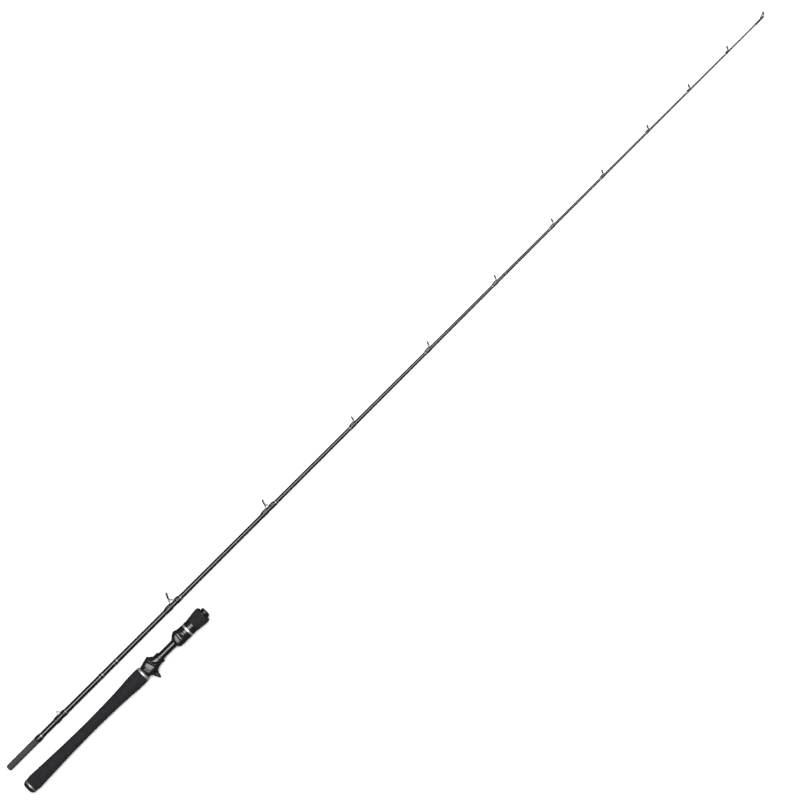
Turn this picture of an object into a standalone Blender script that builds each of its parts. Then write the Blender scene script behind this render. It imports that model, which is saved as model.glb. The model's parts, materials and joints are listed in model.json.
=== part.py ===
"""Two-piece casting rod, taken down and lying on its side, without a reel.

The long blank section with its line guides lies beside the detached handle. Both point along
+X, butts level, with the guides' side towards +Y and the floor at Z = 0. Each section is built
in a frame of its own, with X along its axis from its butt end, and is placed by an empty.
"""

import math

import bmesh
import bpy
from mathutils import Vector

MM = 0.001
FIT = 0.25 * MM  # air between two pieces that touch

# How the two sections lie.
BUTT_X = -922.2 * MM
BLANK_AXIS_Y = 25.1 * MM
HANDLE_AXIS_Y = -23.2 * MM

# Handle, by distance from its butt end. Radii are round the handle's axis.
TUBE_RADIUS = 6.72 * MM
SOCKET_RADIUS = 6.0 * MM
TUBE_START, TUBE_END = 6.1 * MM, 361.7 * MM
SOCKET_START, SOCKET_END = 362.0 * MM, 433.3 * MM
GLUED_RADIUS = TUBE_RADIUS + FIT
CAP_STEM_END = 18.0 * MM
BUTT_RING_START, BUTT_RING_END = 6.05 * MM, 9.1 * MM
GRIP_START, GRIP_END = 9.35 * MM, 279.1 * MM
CHECK_RING_START, CHECK_RING_END = 279.4 * MM, 283.7 * MM
SEAT_START, SEAT_END = 284.0 * MM, 323.8 * MM
HOOD_START, HOOD_END = 356.6 * MM, 386.5 * MM
HOOD_NECK_END = 366.5 * MM
BARREL_START, BARREL_END = 367.5 * MM, 429.5 * MM
BARREL_RADIUS = 8.9 * MM
NUT_BORE_RADIUS = 9.25 * MM
NUT_RING_START, NUT_RING_END = 386.8 * MM, 390.1 * MM
NUT_START, NUT_SHOULDER, NUT_END = 390.4 * MM, 401.3 * MM, 425.5 * MM
NUT_RADIUS, NUT_SLEEVE_RADIUS = 12.75 * MM, 11.0 * MM
FOREGRIP_START, FOREGRIP_END = 401.6 * MM, 428.2 * MM
COLLAR_START, COLLAR_END = 429.8 * MM, 433.7 * MM
FOOT_BED = 9.3 * MM  # height of the reel foot's bed over the handle's axis
POCKET_HALF_WIDTH = 5.0 * MM

# The handle rests on the widest points of its two grips.
BUTT_REST_AT, BUTT_REST_RADIUS = 17.0 * MM, 13.85 * MM
FORE_REST_AT, FORE_REST_RADIUS = 422.0 * MM, 15.2 * MM
HANDLE_TILT = math.asin((FORE_REST_RADIUS - BUTT_REST_RADIUS) / (FORE_REST_AT - BUTT_REST_AT))
HANDLE_BUTT_HEIGHT = BUTT_REST_RADIUS - BUTT_REST_AT * math.tan(HANDLE_TILT)

# Blank section, by distance from its butt end.
SPIGOT_START, SPIGOT_END, SPIGOT_RADIUS = 1.2 * MM, 68.5 * MM, 5.82 * MM
STUB_START, STUB_RADIUS, STUB_BORE = 3.0 * MM, 4.9 * MM, 3.9 * MM
BUTT_WRAP_START, BUTT_WRAP_END, BUTT_WRAP_RADIUS = 68.8 * MM, 79.7 * MM, 6.3 * MM
TAPER_START, TAPER_START_RADIUS = 81.0 * MM, 5.15 * MM
BLANK_END, TIP_RADIUS, TIP_BORE = 1836.0 * MM, 1.15 * MM, 0.5 * MM
TRIM_BANDS = {"trim_band_rear": 222.8 * MM, "trim_band_front": 257.6 * MM}
TRIM_BAND_LENGTH = 7.2 * MM
WRAP_THICKNESS = 0.45 * MM
WRAP_EDGE = 0.12 * MM  # thickness that is left at a wrap's thin end
FOOT_THICKNESS = 0.65 * MM

# Line guides from the butt: distance of the base, height and radius of the ring, forward lean
# in degrees, and length of the thread wrap behind the ring.
GUIDES = (
    (397.8 * MM, 18.1 * MM, 6.50 * MM, 25.0, 15.5 * MM),
    (631.5 * MM, 15.6 * MM, 5.30 * MM, 21.0, 14.6 * MM),
    (844.8 * MM, 9.4 * MM, 4.20 * MM, 18.0, 12.0 * MM),
    (1027.8 * MM, 9.3 * MM, 3.70 * MM, 24.0, 11.5 * MM),
    (1190.6 * MM, 8.8 * MM, 3.60 * MM, 24.0, 10.6 * MM),
    (1329.3 * MM, 8.4 * MM, 3.60 * MM, 24.0, 10.2 * MM),
    (1450.6 * MM, 6.7 * MM, 3.50 * MM, 24.0, 9.0 * MM),
    (1560.7 * MM, 6.7 * MM, 3.40 * MM, 24.0, 8.6 * MM),
    (1660.9 * MM, 6.1 * MM, 3.40 * MM, 24.0, 8.3 * MM),
    (1754.5 * MM, 6.2 * MM, 3.30 * MM, 24.0, 7.8 * MM),
)
DOUBLE_FOOT_GUIDES = 2  # the first ones from the butt
PLATE_THICKNESS, PLATE_RIM = 0.9 * MM, 0.9 * MM
RING_FIT = 0.2 * MM  # air between a ceramic ring and its plate
FRONT_WRAP_LENGTH = 12.0 * MM
FRONT_WRAP_OFFSET = {1: 9.6 * MM, 2: 7.6 * MM}  # from the guide's base

# Tip-top.
TIP_WRAP_START, TIP_WRAP_END = 1818.0 * MM, 1828.6 * MM
TIP_TUBE_START, TIP_TUBE_END, TIP_TUBE_RADIUS = 1829.0 * MM, 1839.0 * MM, 1.8 * MM
TIP_RING_AT, TIP_RING_HEIGHT, TIP_RING_RADIUS, TIP_LEAN = 1842.25 * MM, 4.3 * MM, 3.2 * MM, 35.0

# The blank section rests on its largest guide and on its tip-top.
REST_GAP = 0.15 * MM
FIRST_RING_AT = GUIDES[0][0]
BLANK_LIE = math.atan(
    (GUIDES[0][2] + REST_GAP - TIP_RING_RADIUS) / (TIP_RING_AT - FIRST_RING_AT)
)
BLANK_BUTT_HEIGHT = TIP_RING_RADIUS + TIP_RING_AT * math.tan(BLANK_LIE) + 0.02 * MM

FINISHES = {
    "blank_gloss": ((0.010, 0.010, 0.012), 0.16, 0.0),
    "spigot_matte": ((0.085, 0.082, 0.083), 0.55, 0.0),
    "wrap_epoxy": ((0.008, 0.008, 0.009), 0.10, 0.0),
    "eva_foam": ((0.028, 0.027, 0.029), 0.85, 0.0),
    "seat_gloss": ((0.015, 0.014, 0.015), 0.20, 0.0),
    "tube_gloss": ((0.012, 0.012, 0.014), 0.18, 0.0),
    "black_plastic": ((0.012, 0.012, 0.013), 0.45, 0.0),
    "silver_ring": ((0.80, 0.80, 0.82), 0.22, 1.0),
    "guide_metal": ((0.20, 0.20, 0.21), 0.30, 1.0),
    "guide_ceramic": ((0.030, 0.030, 0.034), 0.12, 0.0),
}


# ---------------------------------------------------------------- scene and mesh helpers


def clear_scene():
    """Removes every object that the start-up file brings."""
    for obj in list(bpy.data.objects):
        bpy.data.objects.remove(obj, do_unlink=True)


def make_finish(name):
    """Returns the named material, made once."""
    material = bpy.data.materials.get(name)
    if material:
        return material
    color, roughness, metallic = FINISHES[name]
    material = bpy.data.materials.new(name)
    material.use_nodes = True
    shader = material.node_tree.nodes["Principled BSDF"]
    shader.inputs["Base Color"].default_value = (*color, 1.0)
    shader.inputs["Roughness"].default_value = roughness
    shader.inputs["Metallic"].default_value = metallic
    return material


def add_frame(name, location, pitch):
    """Adds an empty whose X axis dips by the pitch angle, in radians."""
    empty = bpy.data.objects.new(name, None)
    bpy.context.scene.collection.objects.link(empty)
    empty.location = location
    empty.rotation_euler = (0.0, pitch, 0.0)
    return empty


def add_part(name, loops, finish, frame, cyclic=True, helper=False):
    """Makes an object from loops of points, joined in order with faces.

    A cyclic stack closes on itself, as a tube's wall does. Any other stack is capped.
    """
    bm = bmesh.new()
    rows = [[bm.verts.new(point) for point in loop] for loop in loops]
    pairs = list(zip(rows, rows[1:]))
    if cyclic:
        pairs.append((rows[-1], rows[0]))
    else:
        bm.faces.new(rows[0])
        bm.faces.new(rows[-1])
    for low, high in pairs:
        count = len(low)
        for here in range(count):
            there = (here + 1) % count
            bm.faces.new((low[here], low[there], high[there], high[here]))
    bmesh.ops.recalc_face_normals(bm, faces=bm.faces)
    mesh = bpy.data.meshes.new(name)
    bm.to_mesh(mesh)
    bm.free()
    mesh.materials.append(make_finish(finish))
    mesh.shade_smooth()
    mesh.set_sharp_from_angle(angle=math.radians(35.0))
    obj = bpy.data.objects.new(name, mesh)
    bpy.context.scene.collection.objects.link(obj)
    obj.parent = frame
    if helper:
        obj.hide_render = True
        obj.display_type = "WIRE"
    return obj


def combine(obj, helper, operation):
    """Joins a helper solid to an object, or cuts it away."""
    modifier = obj.modifiers.new(f"{operation.lower()}_{helper.name}", "BOOLEAN")
    modifier.operation = operation
    modifier.object = helper
    modifier.solver = "EXACT"


def round_loop(x, radius, segments):
    """A loop round the X axis, from the guides' side. The radius may be a function of the angle."""
    points = []
    for step in range(segments):
        angle = 2.0 * math.pi * step / segments
        reach = radius(angle) if callable(radius) else radius
        points.append(Vector((x, reach * math.cos(angle), reach * math.sin(angle))))
    return points


def leaning_loop(centre, lean, radius, offset, angles):
    """A loop in a plane that leans forward, pushed out along the plane's normal by an offset.

    Angles run from the plane's top. The radius may be a function of the angle.
    """
    up = Vector((math.sin(lean), math.cos(lean), 0.0))
    out = Vector((math.cos(lean), -math.sin(lean), 0.0))
    across = Vector((0.0, 0.0, 1.0))
    points = []
    for angle in angles:
        reach = radius(angle) if callable(radius) else radius
        spoke = up * math.cos(angle) + across * math.sin(angle)
        points.append(centre + spoke * reach + out * offset)
    return points


def even_angles(segments):
    """Angles spaced evenly round a full turn."""
    return [2.0 * math.pi * step / segments for step in range(segments)]


def egg_loop(x, top, bottom, side, segments, power=2.4):
    """A squared oval round the X axis, with its own height above and below the axis."""

    def reach(angle):
        rise, run = math.cos(angle), math.sin(angle)
        height = top if rise > 0.0 else bottom
        return (abs(rise / height) ** power + abs(run / side) ** power) ** (-1.0 / power)

    return round_loop(x, reach, segments)


def sleeve(name, outer, inner, segments, finish, frame):
    """A turned tube wall from outer and inner lists of (x, radius), both butt to front."""
    loops = [round_loop(x, radius, segments) for x, radius in outer]
    loops += [round_loop(x, radius, segments) for x, radius in reversed(inner)]
    return add_part(name, loops, finish, frame)


def smooth_profile(knots, steps):
    """Points on a Catmull-Rom curve through (x, radius) knots, with steps to each span."""
    points = []
    last = len(knots) - 1
    for span in range(last):
        before, start = Vector(knots[max(span - 1, 0)]), Vector(knots[span])
        end, after = Vector(knots[span + 1]), Vector(knots[min(span + 2, last)])
        for step in range(steps):
            t = step / steps
            points.append(
                0.5
                * (
                    2.0 * start
                    + (end - before) * t
                    + (2.0 * before - 5.0 * start + 4.0 * end - after) * t * t
                    + (3.0 * start - before - 3.0 * end + after) * t * t * t
                )
            )
    points.append(Vector(knots[last]))
    return [(point.x, point.y) for point in points]


def strip_loops(path, half_widths, thickness):
    """Four-cornered loops along a path of (x, y) points: a flat metal strip across Z."""
    loops = []
    last = len(path) - 1
    for index, (x, y) in enumerate(path):
        ahead, behind = path[min(index + 1, last)], path[max(index - 1, 0)]
        run = Vector((ahead[0] - behind[0], ahead[1] - behind[1])).normalized()
        side = Vector((-run.y, run.x)) * thickness / 2.0
        half = half_widths[index]
        loops.append(
            [
                Vector((x + side.x, y + side.y, -half)),
                Vector((x + side.x, y + side.y, half)),
                Vector((x - side.x, y - side.y, half)),
                Vector((x - side.x, y - side.y, -half)),
            ]
        )
    return loops


def rod_loops(start, end, radius, segments=6):
    """Loops of a straight round bar between two points."""
    start, end = Vector(start), Vector(end)
    turn = (end - start).to_track_quat("Z", "Y")
    loops = []
    for centre in (start, end):
        loop = []
        for step in range(segments):
            angle = 2.0 * math.pi * step / segments
            offset = Vector((radius * math.cos(angle), radius * math.sin(angle), 0.0))
            loop.append(centre + turn @ offset)
        loops.append(loop)
    return loops


# ---------------------------------------------------------------- handle


def build_handle_core(frame):
    """The tube through the handle, the ferrule socket in line with it, and the butt cap."""
    for name, start, end in (
        ("handle_tube", TUBE_START, TUBE_END),
        ("ferrule_socket", SOCKET_START, SOCKET_END),
    ):
        outer = [(start, TUBE_RADIUS), (end, TUBE_RADIUS)]
        inner = [(start, SOCKET_RADIUS), (end, SOCKET_RADIUS)]
        sleeve(name, outer, inner, 32, "tube_gloss", frame)
    stem = SOCKET_RADIUS - FIT
    profile = (
        (0.0, 8.2 * MM),
        (0.7 * MM, 9.9 * MM),
        (2.2 * MM, 11.3 * MM),
        (4.2 * MM, 12.5 * MM),
        (5.75 * MM, 13.0 * MM),
        (5.75 * MM, stem),
        (CAP_STEM_END, stem),
    )
    loops = [round_loop(x, radius, 32) for x, radius in profile]
    add_part("butt_cap", loops, "black_plastic", frame, cyclic=False)


def build_metal_ring(name, start, end, radius, bore, crown, frame):
    """A bright ring with a slightly crowned rim."""
    middle = (start + end) / 2.0
    outer = [(start, radius - crown), (middle, radius), (end, radius - crown)]
    sleeve(name, outer, [(start, bore), (end, bore)], 32, "silver_ring", frame)


def build_rear_grip(frame):
    """The long foam grip: full at both ends, slim in the middle."""
    knots = (
        (13.0 * MM, 13.1 * MM),
        (BUTT_REST_AT, BUTT_REST_RADIUS),
        (35.0 * MM, 13.05 * MM),
        (65.0 * MM, 12.0 * MM),
        (100.0 * MM, 10.85 * MM),
        (150.0 * MM, 10.1 * MM),
        (203.0 * MM, 10.9 * MM),
        (238.0 * MM, 12.5 * MM),
        (258.0 * MM, 14.0 * MM),
        (272.0 * MM, 14.25 * MM),
        (GRIP_END, 13.9 * MM),
    )
    outer = [(GRIP_START, 12.75 * MM)] + smooth_profile(knots, 2)
    inner = [(GRIP_START, GLUED_RADIUS), (GRIP_END, GLUED_RADIUS)]
    sleeve("rear_grip", outer, inner, 32, "eva_foam", frame)


def pocket_cutter(name, back, front, back_height, front_height, frame):
    """The wedge of air that a reel foot's end slides into. Its floor is the foot bed."""
    floor_half, roof_half = POCKET_HALF_WIDTH, POCKET_HALF_WIDTH * 0.76
    loops = []
    for x, height in ((back, back_height), (front, front_height)):
        loops.append(
            [
                Vector((x, FOOT_BED, -floor_half)),
                Vector((x, FOOT_BED, floor_half)),
                Vector((x, height, roof_half)),
                Vector((x, height, -roof_half)),
            ]
        )
    return add_part(name, loops, "seat_gloss", frame, cyclic=False, helper=True)


def build_reel_seat(frame):
    """The fixed half of the reel seat: rear hood, foot bed and the finger trigger."""
    stations = (
        (SEAT_START, 11.3, 10.7, 11.2),
        (288.0 * MM, 12.4, 11.4, 12.1),
        (297.0 * MM, 14.7, 11.6, 12.6),
        (304.6 * MM, 16.6, 11.5, 12.5),
        (306.8 * MM, 17.0, 11.3, 12.3),
        (311.0 * MM, 13.6, 10.6, 11.4),
        (316.2 * MM, 9.8, 10.1, 10.5),
        (322.3 * MM, 9.8, 10.2, 10.2),
        (SEAT_END, 8.6, 9.0, 9.0),
    )
    segments = 32
    loops = [egg_loop(x, top * MM, low * MM, side * MM, segments) for x, top, low, side in stations]
    loops += [round_loop(x, GLUED_RADIUS, segments) for x in (SEAT_END, SEAT_START)]
    seat = add_part("reel_seat", loops, "seat_gloss", frame)

    # Trigger sections, root to tip: height below the axis, centre along X, half length, half width.
    sections = (
        (8.2, 300.5, 13.0, 7.6),
        (10.2, 298.8, 9.6, 6.8),
        (12.2, 297.9, 7.3, 5.9),
        (15.9, 297.5, 4.75, 4.8),
        (20.0, 297.5, 3.2, 4.2),
        (24.0, 297.8, 1.9, 3.5),
        (26.1, 298.2, 1.0, 2.4),
    )
    loops = []
    for depth, centre, length, width in sections:
        loop = []
        for step in range(16):
            angle = 2.0 * math.pi * step / 16
            x, z = centre + length * math.cos(angle), width * math.sin(angle)
            loop.append(Vector((x, -depth, z)) * MM)
        loops.append(loop)
    trigger = add_part("trigger_form", loops, "seat_gloss", frame, cyclic=False, helper=True)
    combine(seat, trigger, "UNION")
    pocket = pocket_cutter("rear_pocket", 293.5 * MM, 326.0 * MM, 12.2 * MM, 16.3 * MM, frame)
    combine(seat, pocket, "DIFFERENCE")


def build_sliding_hood(frame):
    """The front hood, which slides along the tube to clamp the reel foot."""
    stations = (
        (HOOD_START, 7.9, 7.9, 7.9),
        (358.4 * MM, 8.8, 9.7, 9.8),
        (360.2 * MM, 10.9, 11.9, 11.4),
        (362.2 * MM, 12.7, 12.5, 12.1),
        (366.0 * MM, 14.9, 12.6, 12.5),
        (368.6 * MM, 15.9, 12.7, 12.6),
        (372.2 * MM, 14.9, 12.7, 12.6),
        (376.5 * MM, 13.4, 12.8, 12.6),
        (HOOD_END, 12.7, 13.0, 12.7),
    )
    segments = 32
    loops = [egg_loop(x, top * MM, low * MM, side * MM, segments) for x, top, low, side in stations]
    loops += [
        round_loop(HOOD_END, NUT_BORE_RADIUS, segments),
        round_loop(HOOD_NECK_END, NUT_BORE_RADIUS, segments),
        round_loop(HOOD_NECK_END, GLUED_RADIUS, segments),
        round_loop(HOOD_START, GLUED_RADIUS, segments),
    ]
    hood = add_part("sliding_hood", loops, "seat_gloss", frame)
    pocket = pocket_cutter("front_pocket", 378.0 * MM, 355.0 * MM, 11.9 * MM, 15.8 * MM, frame)
    combine(hood, pocket, "DIFFERENCE")


def build_lock_nut(frame):
    """The threaded barrel and what turns on it: the nut, its bright ring and the foregrip."""
    sleeve(
        "thread_barrel",
        [(BARREL_START, BARREL_RADIUS), (BARREL_END, BARREL_RADIUS)],
        [(BARREL_START, GLUED_RADIUS), (BARREL_END, GLUED_RADIUS)],
        32,
        "black_plastic",
        frame,
    )
    build_metal_ring(
        "nut_ring", NUT_RING_START, NUT_RING_END, 12.65 * MM, NUT_BORE_RADIUS, 0.15 * MM, frame
    )
    sleeve(
        "lock_nut",
        [
            (NUT_START, NUT_RADIUS),
            (NUT_SHOULDER, NUT_RADIUS),
            (NUT_SHOULDER, NUT_SLEEVE_RADIUS),
            (NUT_END, NUT_SLEEVE_RADIUS),
        ],
        [(NUT_START, NUT_BORE_RADIUS), (NUT_END, NUT_BORE_RADIUS)],
        32,
        "black_plastic",
        frame,
    )
    flare = (
        (FOREGRIP_START, 13.15 * MM),
        (408.0 * MM, 13.9 * MM),
        (415.0 * MM, 14.65 * MM),
        (FORE_REST_AT, FORE_REST_RADIUS),
        (425.6 * MM, 14.9 * MM),
        (427.5 * MM, 13.8 * MM),
        (FOREGRIP_END, 12.4 * MM),
    )
    bore = NUT_SLEEVE_RADIUS + FIT
    sleeve(
        "foregrip",
        list(flare),
        [(FOREGRIP_START, bore), (FOREGRIP_END, bore)],
        32,
        "eva_foam",
        frame,
    )
    collar = [
        (COLLAR_START, 9.1 * MM),
        (431.6 * MM, 9.1 * MM),
        (433.0 * MM, 8.5 * MM),
        (COLLAR_END, 7.7 * MM),
    ]
    bore = [(COLLAR_START, GLUED_RADIUS), (COLLAR_END, GLUED_RADIUS)]
    sleeve("front_collar", collar, bore, 32, "black_plastic", frame)


def build_handle():
    """Every piece of the detached handle, from the butt forward."""
    butt = (BUTT_X, HANDLE_AXIS_Y, HANDLE_BUTT_HEIGHT)
    frame = add_frame("handle_frame", butt, -HANDLE_TILT)
    build_handle_core(frame)
    build_metal_ring(
        "butt_ring", BUTT_RING_START, BUTT_RING_END, 13.1 * MM, GLUED_RADIUS, 0.2 * MM, frame
    )
    build_rear_grip(frame)
    build_metal_ring(
        "grip_check_ring",
        CHECK_RING_START,
        CHECK_RING_END,
        14.0 * MM,
        GLUED_RADIUS,
        0.35 * MM,
        frame,
    )
    build_reel_seat(frame)
    build_sliding_hood(frame)
    build_lock_nut(frame)


# ---------------------------------------------------------------- blank section


def blank_radius(x):
    """Outside radius of the blank, an even taper from butt to tip."""
    share = (x - TAPER_START) / (BLANK_END - TAPER_START)
    return TAPER_START_RADIUS + (TIP_RADIUS - TAPER_START_RADIUS) * min(max(share, 0.0), 1.0)


def build_blank(frame):
    """The hollow blank, its ferrule spigot and the plug that closes the spigot."""
    outer = [
        (STUB_START, STUB_RADIUS),
        (TAPER_START - MM, STUB_RADIUS),
        (TAPER_START, TAPER_START_RADIUS),
    ]
    outer += [(x, blank_radius(x)) for x in (0.5, 0.95, 1.4, BLANK_END)]
    inner = [
        (STUB_START, STUB_BORE),
        (TAPER_START, STUB_BORE),
        (0.95, 2.3 * MM),
        (BLANK_END, TIP_BORE),
    ]
    sleeve("blank_tube", outer, inner, 16, "blank_gloss", frame)

    bore = STUB_RADIUS + FIT
    chamfer = 0.9 * MM
    sleeve(
        "ferrule_spigot",
        [
            (SPIGOT_START, SPIGOT_RADIUS - chamfer / 2.0),
            (SPIGOT_START + chamfer, SPIGOT_RADIUS),
            (SPIGOT_END, SPIGOT_RADIUS),
        ],
        [(SPIGOT_START, bore), (SPIGOT_END, bore)],
        24,
        "spigot_matte",
        frame,
    )
    stem = STUB_BORE - FIT
    plug = ((0.0, 4.3 * MM), (0.9 * MM, 5.2 * MM), (0.9 * MM, stem), (10.0 * MM, stem))
    loops = [round_loop(x, radius, 24) for x, radius in plug]
    add_part("spigot_end_plug", loops, "black_plastic", frame, cyclic=False)
    sleeve(
        "butt_wrap",
        [
            (BUTT_WRAP_START, BUTT_WRAP_RADIUS - 0.3 * MM),
            (BUTT_WRAP_START + 1.2 * MM, BUTT_WRAP_RADIUS),
            (BUTT_WRAP_END - 1.6 * MM, BUTT_WRAP_RADIUS),
            (BUTT_WRAP_END, BUTT_WRAP_RADIUS - 0.7 * MM),
        ],
        [(BUTT_WRAP_START, bore), (BUTT_WRAP_END, bore)],
        24,
        "wrap_epoxy",
        frame,
    )
    for name, start in TRIM_BANDS.items():
        end = start + TRIM_BAND_LENGTH
        rim, crest = blank_radius(start) + 0.45 * MM, blank_radius(start) + 0.75 * MM
        outer = [(start, rim), ((start + end) / 2.0, crest), (end, rim)]
        inner = [(x, blank_radius(x) + FIT) for x in (start, end)]
        sleeve(name, outer, inner, 16, "wrap_epoxy", frame)


def bumped(radius, rise, half_angle, angle):
    """A radius that stands up by rise over the guides' side, within half_angle of it."""
    fade = math.radians(38.0)
    turn = min(angle, 2.0 * math.pi - angle)
    share = min(max((half_angle + fade - turn) / fade, 0.0), 1.0)
    return radius + rise * share * share * (3.0 - 2.0 * share)


def build_foot_wrap(name, start, end, foot_half_width, ring_at_end, segments, frame):
    """A thread wrap over a guide's foot: a sleeve with a tunnel on its upper side.

    The tunnel is open towards the guide's ring and closes down onto the blank at the far end.
    """
    blank = blank_radius(start)
    foot_top = blank + FIT + FOOT_THICKNESS
    corner = math.hypot(foot_half_width, foot_top) / math.cos(math.pi / segments)
    rise = corner - blank
    half_angle = math.atan2(foot_half_width, blank) + math.radians(8.0)
    length = end - start
    # Share of the length from the closed end, share of the thread's thickness, share of the rise.
    outer_stations = ((0.0, 0.1, 0.0), (0.12, 1.0, 0.35), (0.3, 1.0, 1.0), (1.0, 0.7, 1.0))
    inner_stations = ((1.0, 1.0), (0.3, 1.0), (0.0, 0.0))

    def place(share):
        return start + share * length if ring_at_end else end - share * length

    loops = []
    for share, thick, bump in outer_stations:
        x = place(share)
        base = blank_radius(x) + FIT + WRAP_EDGE + WRAP_THICKNESS * thick
        loops.append(
            round_loop(x, lambda a, r=base, b=bump: bumped(r, rise * b, half_angle, a), segments)
        )
    for share, bump in inner_stations:
        x = place(share)
        base = blank_radius(x) + FIT
        loops.append(
            round_loop(x, lambda a, r=base, b=bump: bumped(r, rise * b, half_angle, a), segments)
        )
    add_part(name, loops, "wrap_epoxy", frame)


def plate_outline(ring_radius, height, base_half, angle):
    """Reach of a guide plate from its ring's centre: a circle drawn down to a narrow base.

    The angle is measured from the plate's top. The straight flanks leave the circle where they
    are tangent to it and end at the base's corners.
    """
    turn = min(angle, 2.0 * math.pi - angle)
    corner_reach = math.hypot(height, base_half)
    corner_turn = math.pi - math.atan2(base_half, height)
    tangent_turn = corner_turn - math.acos(min(ring_radius / corner_reach, 1.0))
    if turn <= tangent_turn:
        return ring_radius
    if turn <= corner_turn:
        return ring_radius / math.cos(turn - tangent_turn)
    return height / -math.cos(turn)


def build_guide(number, frame):
    """One line guide: a leaning plate with a ceramic ring, its feet and its thread wraps."""
    base_x, ring_height, ring_radius, lean, wrap_length = GUIDES[number - 1]
    double_foot = number <= DOUBLE_FOOT_GUIDES
    lean = math.radians(lean)
    up = Vector((math.sin(lean), math.cos(lean), 0.0))
    base_y = blank_radius(base_x) + FIT
    base = Vector((base_x, base_y, 0.0))
    clearance = 0.3 * MM  # keeps the plate's slanted lower edge off the blank
    centre = base + up * ((ring_height - base_y) / math.cos(lean))
    height = (centre - base).length - clearance
    hole = ring_radius - PLATE_RIM
    foot_half = 0.3 * ring_radius
    segments = 20 if double_foot else 16

    def outline(turn):
        return plate_outline(ring_radius, height, foot_half, turn)

    corner = math.pi - math.atan2(foot_half, height)
    turns = sorted([*even_angles(segments), corner, 2.0 * math.pi - corner])
    half = PLATE_THICKNESS / 2.0
    edges = ((outline, -half), (outline, half), (hole, half), (hole, -half))
    loops = [leaning_loop(centre, lean, reach, offset, turns) for reach, offset in edges]
    plate = add_part(f"guide_frame_{number}", loops, "guide_metal", frame)

    wrap_end = base_x - 0.6 * MM
    foot_y = base_y + FOOT_THICKNESS / 2.0
    foot_back = wrap_end - wrap_length * 0.64
    path = ((foot_back, foot_y), (foot_back + 2.5 * MM, foot_y), (base_x + 0.5 * MM, foot_y))
    loops = strip_loops(path, (foot_half * 0.5, foot_half, foot_half), FOOT_THICKNESS)
    foot = add_part(f"rear_foot_{number}", loops, "guide_metal", frame, cyclic=False, helper=True)
    combine(plate, foot, "UNION")
    blank_segments = 16 if number < 8 else 12
    name = f"guide_{number}_rear_wrap" if double_foot else f"guide_{number}_wrap"
    build_foot_wrap(
        name, wrap_end - wrap_length, wrap_end, foot_half, True, blank_segments, frame
    )

    if double_foot:
        reach = FRONT_WRAP_OFFSET[number]
        touch_y = blank_radius(base_x + reach) + FIT + FOOT_THICKNESS / 2.0
        start_up = height * 0.36
        start = base + up * start_up
        path = (
            (start.x, start.y),
            (base_x + reach * 0.62, touch_y + (start.y - touch_y) * 0.72),
            (base_x + reach * 0.88, touch_y + (start.y - touch_y) * 0.22),
            (base_x + reach, touch_y),
            (base_x + reach + FRONT_WRAP_LENGTH * 0.62, touch_y),
        )
        widths = (foot_half * 0.9, foot_half * 0.8, foot_half * 0.8, foot_half, foot_half * 0.6)
        loops = strip_loops(path, widths, FOOT_THICKNESS)
        brace = add_part(
            f"front_brace_{number}", loops, "guide_metal", frame, cyclic=False, helper=True
        )
        combine(plate, brace, "UNION")
        wrap_start = base_x + reach + 0.5 * MM
        build_foot_wrap(
            f"guide_{number}_front_wrap",
            wrap_start,
            wrap_start + FRONT_WRAP_LENGTH,
            foot_half,
            False,
            blank_segments,
            frame,
        )

    build_ceramic_ring(f"guide_ring_{number}", centre, lean, hole - RING_FIT, segments, frame)


def build_ceramic_ring(name, centre, lean, radius, segments, frame):
    """The hard ring that the line runs through, rounded on its inner side."""
    depth = 1.1 * MM
    wall = 0.24 * radius
    profile = (
        (radius, -0.45 * depth),
        (radius, 0.45 * depth),
        (radius - 0.35 * wall, depth),
        (radius - wall, 0.35 * depth),
        (radius - wall, -0.35 * depth),
        (radius - 0.35 * wall, -depth),
    )
    turns = even_angles(segments)
    loops = [leaning_loop(centre, lean, reach, offset, turns) for reach, offset in profile]
    add_part(name, loops, "guide_ceramic", frame)


def build_hook_keeper(frame):
    """The small wire arch that a hook hangs on, and the two wraps that hold its feet."""
    rear_start, rear_end = 114.2 * MM, 125.4 * MM
    front_start, front_end = 131.9 * MM, 139.4 * MM
    wire = 0.9 * MM
    half = wire / 2.0
    low = blank_radius(rear_end) + FIT + FOOT_THICKNESS / 2.0
    path = (
        (rear_start + 4.4 * MM, low),
        (126.0 * MM, low),
        (126.5 * MM, 8.6 * MM),
        (127.3 * MM, 10.9 * MM),
        (128.7 * MM, 11.6 * MM),
        (130.1 * MM, 10.9 * MM),
        (130.9 * MM, 8.6 * MM),
        (131.4 * MM, low),
        (front_end - 2.8 * MM, low),
    )
    loops = strip_loops(path, [half] * len(path), FOOT_THICKNESS)
    add_part("hook_keeper", loops, "guide_metal", frame, cyclic=False)
    build_foot_wrap("keeper_rear_wrap", rear_start, rear_end, half, True, 16, frame)
    build_foot_wrap("keeper_front_wrap", front_start, front_end, half, False, 16, frame)


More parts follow.
